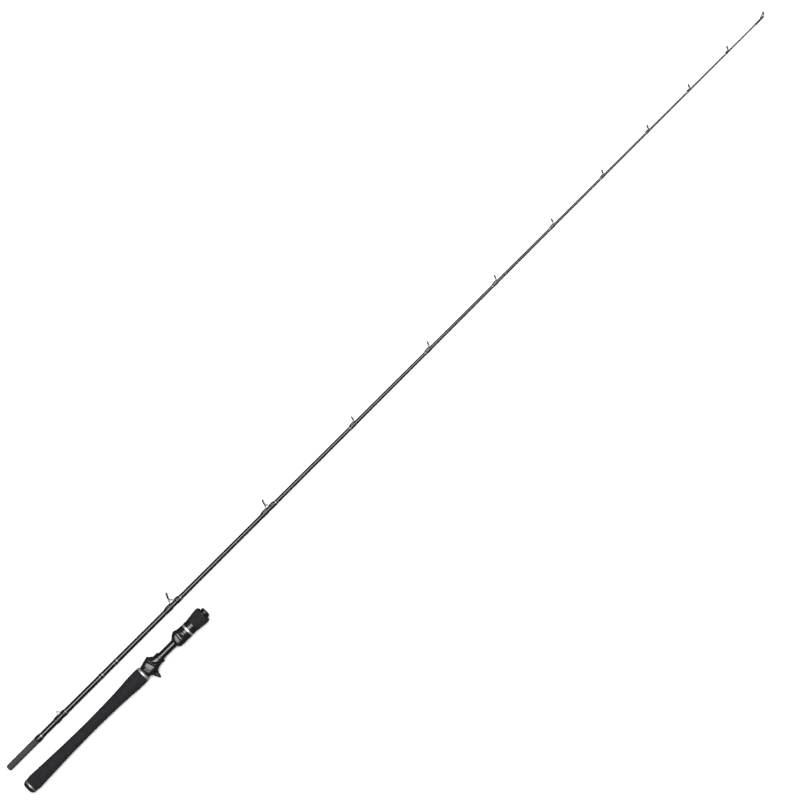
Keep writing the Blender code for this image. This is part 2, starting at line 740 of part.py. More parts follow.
def build_tip_top(frame):
    """The guide on the very tip: a tube over the blank, braces and a leaning ring."""
    segments = 16
    bore = TIP_RADIUS + FIT
    profile = (
        (BLANK_END + FIT, bore),
        (TIP_TUBE_START, bore),
        (TIP_TUBE_START, TIP_TUBE_RADIUS),
        (TIP_TUBE_END - MM, TIP_TUBE_RADIUS),
        (TIP_TUBE_END, TIP_TUBE_RADIUS * 0.6),
    )
    loops = [round_loop(x, radius, segments) for x, radius in profile]
    tube = add_part("tip_top_frame", loops, "guide_metal", frame, cyclic=False)

    lean = math.radians(TIP_LEAN)
    up = Vector((math.sin(lean), math.cos(lean), 0.0))
    centre = Vector((TIP_RING_AT, TIP_RING_HEIGHT, 0.0))
    hole = TIP_RING_RADIUS - 0.75 * MM
    half = 0.4 * MM
    edges = ((TIP_RING_RADIUS, -half), (TIP_RING_RADIUS, half), (hole, half), (hole, -half))
    turns = even_angles(segments)
    loops = [leaning_loop(centre, lean, reach, offset, turns) for reach, offset in edges]
    holder = add_part("tip_ring_holder", loops, "guide_metal", frame, helper=True)
    combine(tube, holder, "UNION")
    rim = (TIP_RING_RADIUS + hole) / 2.0 + 0.12 * MM
    low = centre - up * rim
    neck = rod_loops((TIP_TUBE_END - 1.2 * MM, 0.9 * MM, 0.0), (low.x, low.y, 0.0), 0.5 * MM)
    neck = add_part("tip_neck", neck, "guide_metal", frame, cyclic=False, helper=True)
    combine(tube, neck, "UNION")
    for side in (-1, 1):
        turn = math.radians(62.0) * side
        edge = TIP_RING_RADIUS - 0.1 * MM
        top = centre + up * (edge * math.cos(turn)) + Vector((0.0, 0.0, edge * math.sin(turn)))
        root = (TIP_TUBE_START + 1.2 * MM, 1.35 * MM, side * 1.45 * MM)
        brace = rod_loops(root, top, 0.45 * MM)
        brace = add_part(f"tip_brace_{side}", brace, "guide_metal", frame, cyclic=False, helper=True)
        combine(tube, brace, "UNION")
    build_ceramic_ring("tip_top_ring", centre, lean, hole - RING_FIT, segments, frame)

    start, end = TIP_WRAP_START, TIP_WRAP_END
    rim, crest = blank_radius(start) + 0.4 * MM, blank_radius(start) + 0.75 * MM
    outer = [(start, rim), (start + 2.0 * MM, crest), (end, crest)]
    inner = [(x, blank_radius(x) + FIT) for x in (start, end)]
    sleeve("tip_wrap", outer, inner, 12, "wrap_epoxy", frame)


def build_blank_section():
    """Every piece of the blank section, from the spigot to the tip."""
    butt = (BUTT_X, BLANK_AXIS_Y, BLANK_BUTT_HEIGHT)
    frame = add_frame("blank_frame", butt, BLANK_LIE)
    build_blank(frame)
    build_hook_keeper(frame)
    for number in range(1, len(GUIDES) + 1):
        build_guide(number, frame)
    build_tip_top(frame)


clear_scene()
build_handle()
build_blank_section()
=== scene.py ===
"""Looks of a two-piece casting rod, taken down and lying beside its own handle, without a reel.

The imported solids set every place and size. This script reads the axes of the rod's two sections
from them, skins each solid with a finer surface, and dresses it in the finish of the real
material. It adds what the plain solids leave out: silver trim threads, the screw thread under the
foregrip, open windows in the guide frames, and the moulded shape of the reel seat.

Lengths in the classes are millimetres along a section's own axis from its butt end, and radii are
millimetres round that axis, because that is how a rod is measured on the bench. A Section turns
them into metres in the shared frame.
"""

from __future__ import annotations

import json
import logging
import math
from collections.abc import Callable, Sequence
from dataclasses import dataclass, field
from enum import Enum
from typing import NamedTuple

import bmesh
import bpy
import numpy as np
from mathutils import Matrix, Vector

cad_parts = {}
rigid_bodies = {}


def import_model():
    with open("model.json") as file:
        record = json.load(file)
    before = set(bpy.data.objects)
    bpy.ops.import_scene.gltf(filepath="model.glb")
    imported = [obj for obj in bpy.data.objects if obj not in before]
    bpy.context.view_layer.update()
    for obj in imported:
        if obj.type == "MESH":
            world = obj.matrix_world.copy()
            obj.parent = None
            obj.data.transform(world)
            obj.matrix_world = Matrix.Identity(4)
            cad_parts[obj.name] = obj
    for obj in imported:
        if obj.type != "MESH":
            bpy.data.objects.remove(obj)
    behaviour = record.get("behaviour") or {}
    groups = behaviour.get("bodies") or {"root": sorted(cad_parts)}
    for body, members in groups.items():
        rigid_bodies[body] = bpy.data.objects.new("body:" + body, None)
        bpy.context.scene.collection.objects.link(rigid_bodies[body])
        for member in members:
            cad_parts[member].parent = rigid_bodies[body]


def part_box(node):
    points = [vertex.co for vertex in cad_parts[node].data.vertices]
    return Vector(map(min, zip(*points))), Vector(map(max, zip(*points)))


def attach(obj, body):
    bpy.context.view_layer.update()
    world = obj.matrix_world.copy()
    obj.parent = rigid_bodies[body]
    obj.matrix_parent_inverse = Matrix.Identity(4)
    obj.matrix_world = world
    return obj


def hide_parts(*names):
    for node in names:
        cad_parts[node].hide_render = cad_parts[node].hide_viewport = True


for leftover in list(bpy.data.objects):
    bpy.data.objects.remove(leftover, do_unlink=True)
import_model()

LOG = logging.getLogger("casting_rod")
MM = 0.001
ACROSS = np.array([0.0, 0.0, 1.0])  # the third direction of a section, towards its left side
WELD = 2e-6  # metres: points nearer to each other than this become one
SHARP = math.radians(50.0)  # an edge with a sharper turn than this is shaded as an edge
SUNK = 0.05  # millimetres that a sleeve's bore reaches into what it sits on, so no gap shows

Points = np.ndarray
Knots = Sequence[tuple[float, float]]
Corners = Sequence[tuple[float, float, float]]
Field = Callable[[Points], Points]


class Body(Enum):
    """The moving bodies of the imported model."""

    HANDLE = "handle"
    HOOD = "front_hood"
    NUT = "lock_nut"
    BLANK = "blank_section"


class End(Enum):
    """Which end of a thread wrap a guide's foot comes out of."""

    FRONT = 1
    REAR = -1


# ---------------------------------------------------------------- curves and profiles


def monotone(knots: Knots, at: Points) -> Points:
    """Reads a smooth curve through knots that never swings past them.

    Between two knots runs the cubic with a chosen slope at each end. The slope at a knot is the
    harmonic mean of the straight slopes on its two sides, and nothing where they differ in sign.

    Args:
        knots: pairs of a place and a value, in order of place.
        at: places to read, of any shape.

    Returns:
        The curve's value at each place. Past the ends it keeps the end's value.
    """
    x, y = np.array(knots, float).T
    step = np.diff(x)
    straight = np.diff(y) / step
    before, after = straight[:-1], straight[1:]
    same = before * after > 0.0
    mean = np.where(same, 2.0 * before * after / np.where(same, before + after, 1.0), 0.0)
    slope = np.concatenate([straight[:1], mean, straight[-1:]])
    place = np.clip(at, x[0], x[-1])
    span = np.clip(np.searchsorted(x, place, side="right") - 1, 0, len(step) - 1)
    width = step[span]
    t = (place - x[span]) / width
    rise = t * t * (3.0 - 2.0 * t)
    leave, arrive = t * (1.0 - t) ** 2, t * t * (t - 1.0)
    ends = y[span] + (y[span + 1] - y[span]) * rise
    return ends + width * (slope[span] * leave + slope[span + 1] * arrive)


def smooth_step(share: Points) -> Points:
    """An S-shaped rise from 0 at share 0 to 1 at share 1: 3s² - 2s³."""
    share = np.clip(share, 0.0, 1.0)
    return share * share * (3.0 - 2.0 * share)


def rounded(corners: Corners, steps: int = 5) -> Points:
    """Rounds the corners of a turned profile that closes on itself.

    Each corner is replaced by the parabola that leaves one side and meets the next at the
    cut-back distance: (1-t)² start + 2t(1-t) corner + t² end.

    Args:
        corners: distance, radius and cut-back of each corner.
        steps: points on each rounded corner.

    Returns:
        Rows of distance and radius.
    """
    table = np.array(corners, float)
    point, cut = table[:, :2], table[:, 2:]
    back, onward = np.roll(point, 1, axis=0) - point, np.roll(point, -1, axis=0) - point
    start = point + back / np.maximum(np.linalg.norm(back, axis=1, keepdims=True), 1e-9) * cut
    end = point + onward / np.maximum(np.linalg.norm(onward, axis=1, keepdims=True), 1e-9) * cut
    t = np.linspace(0.0, 1.0, steps)[None, :, None]
    arcs = (1 - t) ** 2 * start[:, None] + 2 * t * (1 - t) * point[:, None] + t * t * end[:, None]
    return arcs.reshape(-1, 2)


def smooth_path(points: Points, steps: int, closed: bool) -> Points:
    """Runs a Catmull-Rom curve through points in space.

    Each span is the cubic whose slope at a point is half the way between its two neighbours.

    Args:
        points: rows of x, y and z.
        steps: points worked out for each span.
        closed: whether the curve returns to its first point.

    Returns:
        The curve's points.
    """
    if closed:
        ring = np.concatenate([points[-1:], points, points[:2]])
    else:
        ring = np.concatenate([2 * points[:1] - points[1:2], points, 2 * points[-1:] - points[-2:-1]])
    p0, p1, p2, p3 = (ring[k : len(ring) - 3 + k, None] for k in range(4))
    t = (np.arange(steps) / steps)[None, :, None]
    curve = 0.5 * (
        2 * p1 + (p2 - p0) * t + (2 * p0 - 5 * p1 + 4 * p2 - p3) * t**2 + (3 * p1 - p0 - 3 * p2 + p3) * t**3
    )
    curve = curve.reshape(-1, 3)
    return curve if closed else np.concatenate([curve, points[-1:]])


# ---------------------------------------------------------------- surfaces


def around(x: Points, radius: Points, angle: Points) -> Points:
    """Points round the axis: (x, r cos a, r sin a) for distances, radii and angles."""
    return np.stack(np.broadcast_arrays(x, radius * np.cos(angle), radius * np.sin(angle)), axis=-1)


def turned(profile: Points, segments: int) -> Points:
    """A surface turned round the axis: a profile that closes on itself, at evenly spaced angles.

    Args:
        profile: rows of distance and radius.
        segments: columns round the axis.

    Returns:
        A grid of points, rows by columns by 3.
    """
    angle = np.linspace(0.0, 2.0 * math.pi, segments, endpoint=False)
    return around(profile[:, :1], profile[:, 1:], angle)


def leaning(lean: float) -> tuple[Points, Points]:
    """The directions up and out of a plane that leans forward by an angle in radians."""
    up = np.array([math.sin(lean), math.cos(lean), 0.0])
    return up, np.array([math.cos(lean), -math.sin(lean), 0.0])


def leaning_ring(centre: Points, lean: float, profile: Points, segments: int) -> Points:
    """A ring turned round the normal of a plane that leans forward.

    Each point is centre + (up cos a + across sin a) r + out h, for profile radius r and height h.

    Args:
        centre: the ring's middle.
        lean: how far the plane leans forward, in radians.
        profile: rows of height along the plane's normal and radius, closing on itself.
        segments: columns round the ring.

    Returns:
        A grid of points, rows by columns by 3.
    """
    up, out = leaning(lean)
    angle = np.linspace(0.0, 2.0 * math.pi, segments, endpoint=False)[:, None]
    spoke = up * np.cos(angle) + ACROSS * np.sin(angle)
    return centre + profile[:, None, 1:] * spoke + profile[:, None, :1] * out


def squared(angle: Points, power: float) -> tuple[Points, Points]:
    """A squared circle's cosine and sine: each keeps its sign and goes to a power below one."""
    cos, sin = np.cos(angle), np.sin(angle)
    return np.sign(cos) * np.abs(cos) ** power, np.sign(sin) * np.abs(sin) ** power


def swept(path: Points, thick: float, wide: float, facing: Points, closed: bool) -> Points:
    """Carries a rounded-rectangle section along a path, as a bent strip or wire.

    The section is a squared circle with its cosine across the strip's thickness and its sine
    across its width. The thickness keeps towards the facing direction, less the part of that
    which runs along the path.

    Args:
        path: rows of x, y and z.
        thick: half thickness.
        wide: half width.
        facing: direction that the strip's thickness faces.
        closed: whether the path returns to its start. If not, both ends become poles.

    Returns:
        A grid of points, rows by columns by 3.
    """
    if closed:
        run = np.roll(path, -1, axis=0) - np.roll(path, 1, axis=0)
    else:
        run = np.gradient(path, axis=0)
    run /= np.linalg.norm(run, axis=1, keepdims=True)
    face = facing - run * (run @ facing)[:, None]
    face /= np.linalg.norm(face, axis=1, keepdims=True)
    side = np.cross(run, face)
    facets, squareness = 16, 0.6
    cos, sin = squared(np.linspace(0.0, 2.0 * math.pi, facets, endpoint=False), squareness)
    flat, broad = (cos * thick)[None, :, None], (sin * wide)[None, :, None]
    grid = path[:, None] + face[:, None] * flat + side[:, None] * broad
    if closed:
        return grid
    rear_pole, front_pole = (np.broadcast_to(point, (1, facets, 3)) for point in (path[0], path[-1]))
    return np.concatenate([rear_pole, grid, front_pole])


def smooth_min(a: Points, b: Points | float, blend: float) -> Points:
    """The lower of two fields, with a fillet where they meet.

    It is min(a, b) less h² blend / 4, where h = max(blend - |a - b|, 0) / blend.
    """
    h = np.maximum(blend - np.abs(a - b), 0.0) / blend
    return np.minimum(a, b) - h * h * blend / 4.0


def smooth_max(a: Points, b: Points | float, blend: float) -> Points:
    """The higher of two fields, with a rounded edge where they meet."""
    return -smooth_min(-a, -b, blend)


def slope_of(shape: Field, points: Points) -> Points:
    """A field's slope at some points, from its values 0.02 mm to each side.

    Args:
        shape: the field.
        points: rows of x, y and z.

    Returns:
        A row of three slopes for each point.
    """
    nudge = 0.02
    pairs = [(shape(points + d) - shape(points - d)) / (2 * nudge) for d in nudge * np.eye(3)]
    return np.stack(pairs, axis=-1)


def zero_surface(shape: Field, low: Points, high: Points, cell: float) -> tuple[Points, Points, Points]:
    """Finds the surface on which a field is zero, by surface nets.

    The field is read at the corners of a grid of cubes. A cube that the surface passes through
    gets one vertex, the mean of the places where the field is zero on its edges. A grid edge that
    the surface crosses gets the quad of the four cubes round it. Then each vertex takes three
    Newton steps, by field / slope² times slope, so that it lies on the surface itself.

    Args:
        shape: a field that is negative inside the solid, in millimetres.
        low: lowest corner of the space to look in.
        high: highest corner.
        cell: size of a cube.

    Returns:
        Vertices, quads of vertex numbers that face outwards, and the normals at the vertices.
    """
    axes = [np.arange(a, b + cell, cell) for a, b in zip(low, high)]
    corner = np.stack(np.meshgrid(*axes, indexing="ij"), axis=-1)
    value = shape(corner)
    cubes = np.array(value.shape) - 1
    total, count = np.zeros((*cubes, 3)), np.zeros(cubes)
    crossings = []
    for axis in range(3):
        ahead = [slice(None)] * 3
        behind = [slice(None)] * 3
        ahead[axis], behind[axis] = slice(1, None), slice(None, -1)
        first, second = value[tuple(behind)], value[tuple(ahead)]
        crossed = (first < 0.0) != (second < 0.0)
        point = corner[tuple(behind)].copy()
        point[..., axis] += np.where(crossed, first / np.where(crossed, first - second, 1.0), 0.0) * cell
        others = [k for k in range(3) if k != axis]
        for shifts in ((0, 0), (0, 1), (1, 0), (1, 1)):
            reach = [slice(None)] * 3
            for k, shift in zip(others, shifts):
                reach[k] = slice(shift, shift + cubes[k])
            hit = crossed[tuple(reach)]
            total += point[tuple(reach)] * hit[..., None]
            count += hit
        crossings.append(np.argwhere(crossed))
    number = np.full(cubes, -1)
    number[count > 0] = np.arange(int((count > 0).sum()))
    vertices = total[count > 0] / count[count > 0][:, None]
    quads = []
    unit = np.eye(3, dtype=int)
    for axis, edges in enumerate(crossings):
        one, two = unit[(axis + 1) % 3], unit[(axis + 2) % 3]
        around_edge = [number[tuple((edges - back).T)] for back in (0 * one, one, one + two, two)]
        quads.append(np.stack(around_edge, axis=1))
    for _ in range(3):
        slope = slope_of(shape, vertices)
        size = np.maximum((slope**2).sum(axis=-1), 0.04)
        step = slope * (shape(vertices) / size)[:, None]
        vertices = vertices - np.clip(step, -cell / 2, cell / 2)
    slope = slope_of(shape, vertices)
    normals = slope / np.maximum(np.linalg.norm(slope, axis=-1, keepdims=True), 1e-9)
    quads = np.concatenate(quads)
    corner = vertices[quads]
    facing = np.cross(corner[:, 2] - corner[:, 0], corner[:, 3] - corner[:, 1])
    inward = (facing * normals[quads].sum(axis=1)).sum(axis=-1) < 0.0
    quads[inward] = quads[inward][:, ::-1]
    return vertices, quads, normals


# ---------------------------------------------------------------- meshes and pieces


def grid_faces(rows: int, columns: int, closed: bool) -> Points:
    """Quads between the neighbouring rows of a grid whose every row is a loop.

    Args:
        rows: rows of the grid.
        columns: points in a row.
        closed: whether the last row meets the first.

    Returns:
        Rows of four vertex numbers.
    """
    index = np.arange(rows * columns).reshape(rows, columns)
    here, ahead = (index, np.roll(index, -1, axis=0)) if closed else (index[:-1], index[1:])
    quads = [here, np.roll(here, -1, axis=1), np.roll(ahead, -1, axis=1), ahead]
    return np.stack(quads, axis=-1).reshape(-1, 4)


def plain_mesh(name: str, points: Points, quads: Points) -> bpy.types.Mesh:
    """Puts points, in metres, and quads into a smooth-shaded mesh.

    Args:
        name: the mesh's name.
        points: rows of x, y and z, in metres.
        quads: rows of four vertex numbers.

    Returns:
        The mesh.
    """
    mesh = bpy.data.meshes.new(name)
    mesh.vertices.add(len(points))
    mesh.vertices.foreach_set("co", points.astype(np.float32).ravel())
    mesh.loops.add(quads.size)
    mesh.loops.foreach_set("vertex_index", quads.astype(np.int32).ravel())
    mesh.polygons.add(len(quads))
    mesh.polygons.foreach_set("loop_start", np.arange(0, quads.size, 4, dtype=np.int32))
    mesh.update(calc_edges=True)
    mesh.shade_smooth()
    return mesh


def tidy_mesh(mesh: bpy.types.Mesh) -> bpy.types.Mesh:
    """Welds a mesh's seams and poles, turns its faces outwards and marks its sharp edges.

    Args:
        mesh: the mesh, which is changed.

    Returns:
        The same mesh.
    """
    bm = bmesh.new()
    bm.from_mesh(mesh)
    bmesh.ops.remove_doubles(bm, verts=bm.verts, dist=WELD)
    bmesh.ops.dissolve_degenerate(bm, edges=bm.edges, dist=1e-7)
    bmesh.ops.recalc_face_normals(bm, faces=bm.faces)
    bm.to_mesh(mesh)
    bm.free()
    mesh.shade_smooth()
    mesh.set_sharp_from_angle(angle=SHARP)
    return mesh


def union(mesh: bpy.types.Mesh, others: Sequence[bpy.types.Mesh]) -> bpy.types.Mesh:
    """Joins closed meshes into one skin with exact Booleans, and returns it.

    Args:
        mesh: the first mesh.
        others: those to join to it.

    Returns:
        One mesh of them all.
    """
    target = bpy.data.objects.new("union_target", mesh)
    helpers = [bpy.data.objects.new("union_helper", other) for other in others]
    for obj in (target, *helpers):
        bpy.context.scene.collection.objects.link(obj)
    for helper in helpers:
        modifier = target.modifiers.new(helper.name, "BOOLEAN")
        modifier.operation, modifier.solver, modifier.object = "UNION", "EXACT", helper
    bpy.context.view_layer.update()
    evaluated = target.evaluated_get(bpy.context.evaluated_depsgraph_get())
    joined = bpy.data.meshes.new_from_object(evaluated)
    joined.name = mesh.name + "_joined"
    for obj in (target, *helpers):
        bpy.data.objects.remove(obj, do_unlink=True)
    joined.shade_smooth()
    joined.set_sharp_from_angle(angle=SHARP)
    return joined


@dataclass(frozen=True)
class Section:
    """The frame of one section of the rod: X along its axis, Y to the guides' side, in metres."""

    butt: Points
    ahead: Points

    @classmethod
    def through(cls, butt_node: str, rear_node: str, front_node: str) -> Section:
        """Finds a section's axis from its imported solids.

        Args:
            butt_node: the solid that begins at the butt end.
            rear_node: a round solid near the butt, centred on the axis.
            front_node: a round solid near the front, centred on the axis.

        Returns:
            The section whose axis runs through the middles of the two round solids.
        """
        rear, front = (np.mean(np.array(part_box(node)), axis=0) for node in (rear_node, front_node))
        ahead = (front - rear) / np.linalg.norm(front - rear)
        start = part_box(butt_node)[0][0]
        return cls(butt=rear + ahead * (start - rear[0]) / ahead[0], ahead=ahead)

    def place(self, points: Points) -> Points:
        """Turns points in millimetres in this section's frame into metres in the shared frame."""
        return self.butt + MM * self.turn(points)

    def turn(self, directions: Points) -> Points:
        """Turns directions in this section's frame into the shared frame."""
        side = np.array([0.0, 1.0, 0.0])
        return directions @ np.stack([self.ahead, side, np.cross(self.ahead, side)])

    def skin(self, name: str, grid: Points, closed: bool = True) -> bpy.types.Mesh:
        """Makes a mesh in the shared frame from a grid of points in this section's frame."""
        rows, columns = grid.shape[:2]
        return tidy_mesh(plain_mesh(name, self.place(grid.reshape(-1, 3)), grid_faces(rows, columns, closed)))

    def mould(self, name: str, shape: Field, low: Points, high: Points, cell: float) -> bpy.types.Mesh:
        """Makes a mesh in the shared frame from a field in this section's frame.

        Args:
            name: the mesh's name.
            shape: the field, negative inside.
            low: lowest corner of the space to look in.
            high: highest corner.
            cell: size of a cube.

        Returns:
            The mesh, shaded by the field's own slope.
        """
        vertices, quads, normals = zero_surface(shape, low, high, cell)
        mesh = plain_mesh(name, self.place(vertices), quads)
        mesh.normals_split_custom_set_from_vertices(self.turn(normals))
        return mesh


def add_piece(
    name: str, mesh: bpy.types.Mesh, finish: Finish, body: Body, nodes: Sequence[str] = ()
) -> bpy.types.Object:
    """Puts a mesh in the scene as a finished piece of the rod.

    Args:
        name: the piece's name.
        mesh: its mesh, in the shared frame.
        finish: what it is made of.
        body: the moving body that it rides on.
        nodes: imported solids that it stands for.

    Returns:
        The piece.
    """
    mesh.materials.clear()
    mesh.materials.append(finish.material())
    piece = bpy.data.objects.new(name, mesh)
    bpy.context.scene.collection.objects.link(piece)
    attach(piece, body.value)
    if nodes:
        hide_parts(*nodes)
    LOG.info("%s: %d faces in %s", name, len(mesh.polygons), finish.name)
    return piece


# ---------------------------------------------------------------- finishes


def linear(code: str) -> tuple[float, float, float, float]:
    """Turns an sRGB hex colour into a shader's linear one: ((c + 0.055) / 1.055) to the power 2.4.

    Args:
        code: a hash and six hex digits.

    Returns:
        Red, green, blue and an alpha of 1.
    """
    srgb = np.array([int(code[start : start + 2], 16) for start in (1, 3, 5)]) / 255.0
    value = np.where(srgb <= 0.04045, srgb / 12.92, ((srgb + 0.055) / 1.055) ** 2.4)
    return (*value.tolist(), 1.0)


def add_node(
    tree: bpy.types.NodeTree, kind: str, settings: dict | None = None, inputs: dict | None = None
) -> bpy.types.Node:
    """Adds a node to a material.

    Args:
        tree: the material's node tree.
        kind: the node's type name.
        settings: the node's own properties.
        inputs: values for its inputs by name or number. A socket is linked, anything else is set.

    Returns:
        The node.
    """
    node = tree.nodes.new(kind)
    for key, value in (settings or {}).items():
        setattr(node, key, value)
    for key, value in (inputs or {}).items():
        if isinstance(value, bpy.types.NodeSocket):
            tree.links.new(value, node.inputs[key])
        else:
            node.inputs[key].default_value = value
    return node


class Pattern(NamedTuple):
    """The sockets of a surface's pattern, each from 0 to 1: for its tone, its polish and its relief."""

    tone: bpy.types.NodeSocket
    polish: bpy.types.NodeSocket | None = None
    relief: bpy.types.NodeSocket | None = None


@dataclass(frozen=True)
class Finish:
    """What a piece is made of, and the record's slot for it. A subclass gives the surface's pattern."""

    name: str
    slot: str
    colour: str  # sRGB hex, where the pattern's tone is 0
    light: str  # and where it is 1
    roughness: float
    uneven: float = 0.05  # how far the polish moves the roughness each way
    metallic: float = 0.0
    ior: float = 1.5
    coat: float = 0.0
    depth_mm: float = 0.01  # height of the relief
    strength: float = 0.5

    def material(self) -> bpy.types.Material:
        """Returns the finish's material, made the first time that it is asked for."""
        known = bpy.data.materials.get(self.name)
        if known:
            return known
        material = bpy.data.materials.new(self.name)
        material.use_nodes = True
        tree = material.node_tree
        shader = tree.nodes["Principled BSDF"]
        constants = {
            "Roughness": self.roughness,
            "Metallic": self.metallic,
            "Coat Weight": self.coat,
            "Coat Roughness": 0.04,
        }
        if self.metallic < 1.0:
            constants["IOR"] = self.ior
        for socket, value in constants.items():
            shader.inputs[socket].default_value = value
        place = add_node(tree, "ShaderNodeTexCoord").outputs["Object"]
        pattern = self.pattern(tree, place)
        tones = {0: pattern.tone, 6: linear(self.colour), 7: linear(self.light)}
        mix = add_node(tree, "ShaderNodeMix", {"data_type": "RGBA"}, tones)
        tree.links.new(mix.outputs[2], shader.inputs["Base Color"])
        if pattern.polish is not None:
            low, high = self.roughness - self.uneven, self.roughness + self.uneven
            ends = {"Value": pattern.polish, "To Min": low, "To Max": high}
            spread = add_node(tree, "ShaderNodeMapRange", None, ends)
            tree.links.new(spread.outputs["Result"], shader.inputs["Roughness"])
        if pattern.relief is not None:
            height = {"Height": pattern.relief, "Distance": self.depth_mm * MM, "Strength": self.strength}
            bump = add_node(tree, "ShaderNodeBump", None, height)
            tree.links.new(bump.outputs["Normal"], shader.inputs["Normal"])
        return material

    def pattern(self, tree: bpy.types.NodeTree, place: bpy.types.NodeSocket) -> Pattern:
        """Adds the nodes of the surface's pattern.

        Args:
            tree: the material's node tree.
            place: the point's place on the object.

        Returns:
            The sockets that vary over the surface.
        """
        raise NotImplementedError


def per_metre(size_mm: float) -> float:
    """Texture scale at which one cell of a noise or Voronoi pattern is this wide."""
    return 1.0 / (size_mm * MM)


@dataclass(frozen=True)
class Foam(Finish):
    """EVA foam, ground to shape: matte charcoal with open pores and soft blotches."""

    pore_mm: float = 0.7  # real pores are 0.1 to 0.3 mm, drawn coarser so that they show
    blotch_mm: float = 9.0

    def pattern(self, tree: bpy.types.NodeTree, place: bpy.types.NodeSocket) -> Pattern:
        """Cells of foam for the polish and the relief, and cloudy noise for the tone.

        Args:
            tree: the material's node tree.
            place: the point's place on the object.

        Returns:
            Blotches for the tone, and cells for the rest.
        """
        clouds = {"Vector": place, "Scale": per_metre(self.blotch_mm), "Detail": 6.0}
        blotch = add_node(tree, "ShaderNodeTexNoise", None, clouds)
        pores = {"Vector": place, "Scale": per_metre(self.pore_mm)}
        cells = add_node(tree, "ShaderNodeTexVoronoi", {"feature": "F1"}, pores).outputs["Distance"]
        return Pattern(blotch.outputs["Fac"], cells, cells)


@dataclass(frozen=True)
class CarbonShell(Finish):
    """Carbon-fibre tube under paint and clear coat: deep black, with a hint of fibre along it."""

    uneven: float = 0.04
    depth_mm: float = 0.02
    strength: float = 0.25
    streak_mm: float = 0.6
    peel_mm: float = 2.5  # the slight waviness that sprayed lacquer keeps

    def pattern(self, tree: bpy.types.NodeTree, place: bpy.types.NodeSocket) -> Pattern:
        """Noise drawn out along the tube for the fibre, and a shallow wave for the lacquer.

        Args:
            tree: the material's node tree.
            place: the point's place on the object.

        Returns:
            Fibre for the tone, and the wave for the rest.
        """
        drawn = add_node(tree, "ShaderNodeMapping", None, {"Vector": place, "Scale": (0.03, 1.0, 1.0)})
        streaks = {"Vector": drawn.outputs["Vector"], "Scale": per_metre(self.streak_mm), "Detail": 3.0}
        fibre = add_node(tree, "ShaderNodeTexNoise", None, streaks)
        peel = add_node(tree, "ShaderNodeTexNoise", None, {"Vector": place, "Scale": per_metre(self.peel_mm)})
        return Pattern(fibre.outputs["Fac"], peel.outputs["Fac"], peel.outputs["Fac"])


@dataclass(frozen=True)
class Lathed(Finish):
    """A surface with fine rings round the rod's axis: ground carbon, or aluminium off the lathe."""

    uneven: float = 0.06
    ring_mm: float = 0.4  # tool marks are about 0.05 mm apart, drawn coarser so that they show

    def pattern(self, tree: bpy.types.NodeTree, place: bpy.types.NodeSocket) -> Pattern:
        """Noise squeezed along the axis, so that it changes from ring to ring and not round one.

        Args:
            tree: the material's node tree.
            place: the point's place on the object.

        Returns:
            The rings, for all three.
        """
        squeezed = add_node(tree, "ShaderNodeMapping", None, {"Vector": place, "Scale": (1.0, 0.02, 0.02)})
        marks = {"Vector": squeezed.outputs["Vector"], "Scale": per_metre(self.ring_mm), "Detail": 4.0}
        rings = add_node(tree, "ShaderNodeTexNoise", None, marks).outputs["Fac"]
        return Pattern(rings, rings, rings)


@dataclass(frozen=True)
class Wound(Finish):
    """Thread wound round the rod and sealed in resin: fine turns of thread under a glassy coat."""

    depth_mm: float = 0.03
    strength: float = 0.6
    thread_mm: float = 0.3  # wrapping thread is 0.15 to 0.2 mm thick, drawn coarser so that it shows

    def pattern(self, tree: bpy.types.NodeTree, place: bpy.types.NodeSocket) -> Pattern:
        """A sine wave along the axis, one wave to a turn of thread.

        A wave texture repeats every pi/10 over its scale, so the scale is pi/10 over the pitch.

        Args:
            tree: the material's node tree.
            place: the point's place on the object.

        Returns:
            The turns, for the tone and the relief.
        """
        bands = {"wave_type": "BANDS", "bands_direction": "X", "wave_profile": "SIN"}
        waves = {"Vector": place, "Scale": math.pi / 10.0 / (self.thread_mm * MM), "Detail": 0.0}
        turns = add_node(tree, "ShaderNodeTexWave", bands, waves).outputs["Fac"]
        return Pattern(turns, None, turns)


@dataclass(frozen=True)
class Moulded(Finish):
    """Injection-moulded or cast surface: an even colour with a faint grain and uneven polish."""

    grain_mm: float = 1.2
    strength: float = 0.4

    def pattern(self, tree: bpy.types.NodeTree, place: bpy.types.NodeSocket) -> Pattern:
        """Coarse noise for the tone and the polish, and fine noise for the grain.

        Args:
            tree: the material's node tree.
            place: the point's place on the object.

        Returns:
            Coarse noise for the tone and polish, fine noise for the relief.
        """
        grain = {"Vector": place, "Scale": per_metre(self.grain_mm), "Detail": 2.0}
        cloud = {"Vector": place, "Scale": per_metre(10.0 * self.grain_mm), "Detail": 4.0}
        fine = add_node(tree, "ShaderNodeTexNoise", None, grain).outputs["Fac"]
        coarse = add_node(tree, "ShaderNodeTexNoise", None, cloud).outputs["Fac"]
        return Pattern(coarse, coarse, fine)


# Ground EVA foam drinks the light in: flat charcoal, hardly any highlight.
EVA_FOAM = Foam(
    "eva_foam_ground", "eva_foam", "#121113", "#2a292c", 0.865, 0.085, ior=1.25, depth_mm=0.14, strength=1.0
)
# Sprayed and polished lacquer over carbon fibre: one thin bright line along a deep black tube.
BLANK_LACQUER = CarbonShell("carbon_fibre_lacquered", "carbon_blank", "#060607", "#0f0f11", 0.14)
TUBE_LACQUER = CarbonShell("carbon_fibre_tube_lacquered", "handle_tube", "#070708", "#0f0f11", 0.18)
# Carbon fibre ground to fit the socket: dull grey, lighter than anything else that is black here.
SPIGOT_GROUND = Lathed("carbon_fibre_ground", "matte_spigot", "#2e2c2d", "#3e3c3d", 0.68, ior=1.3)
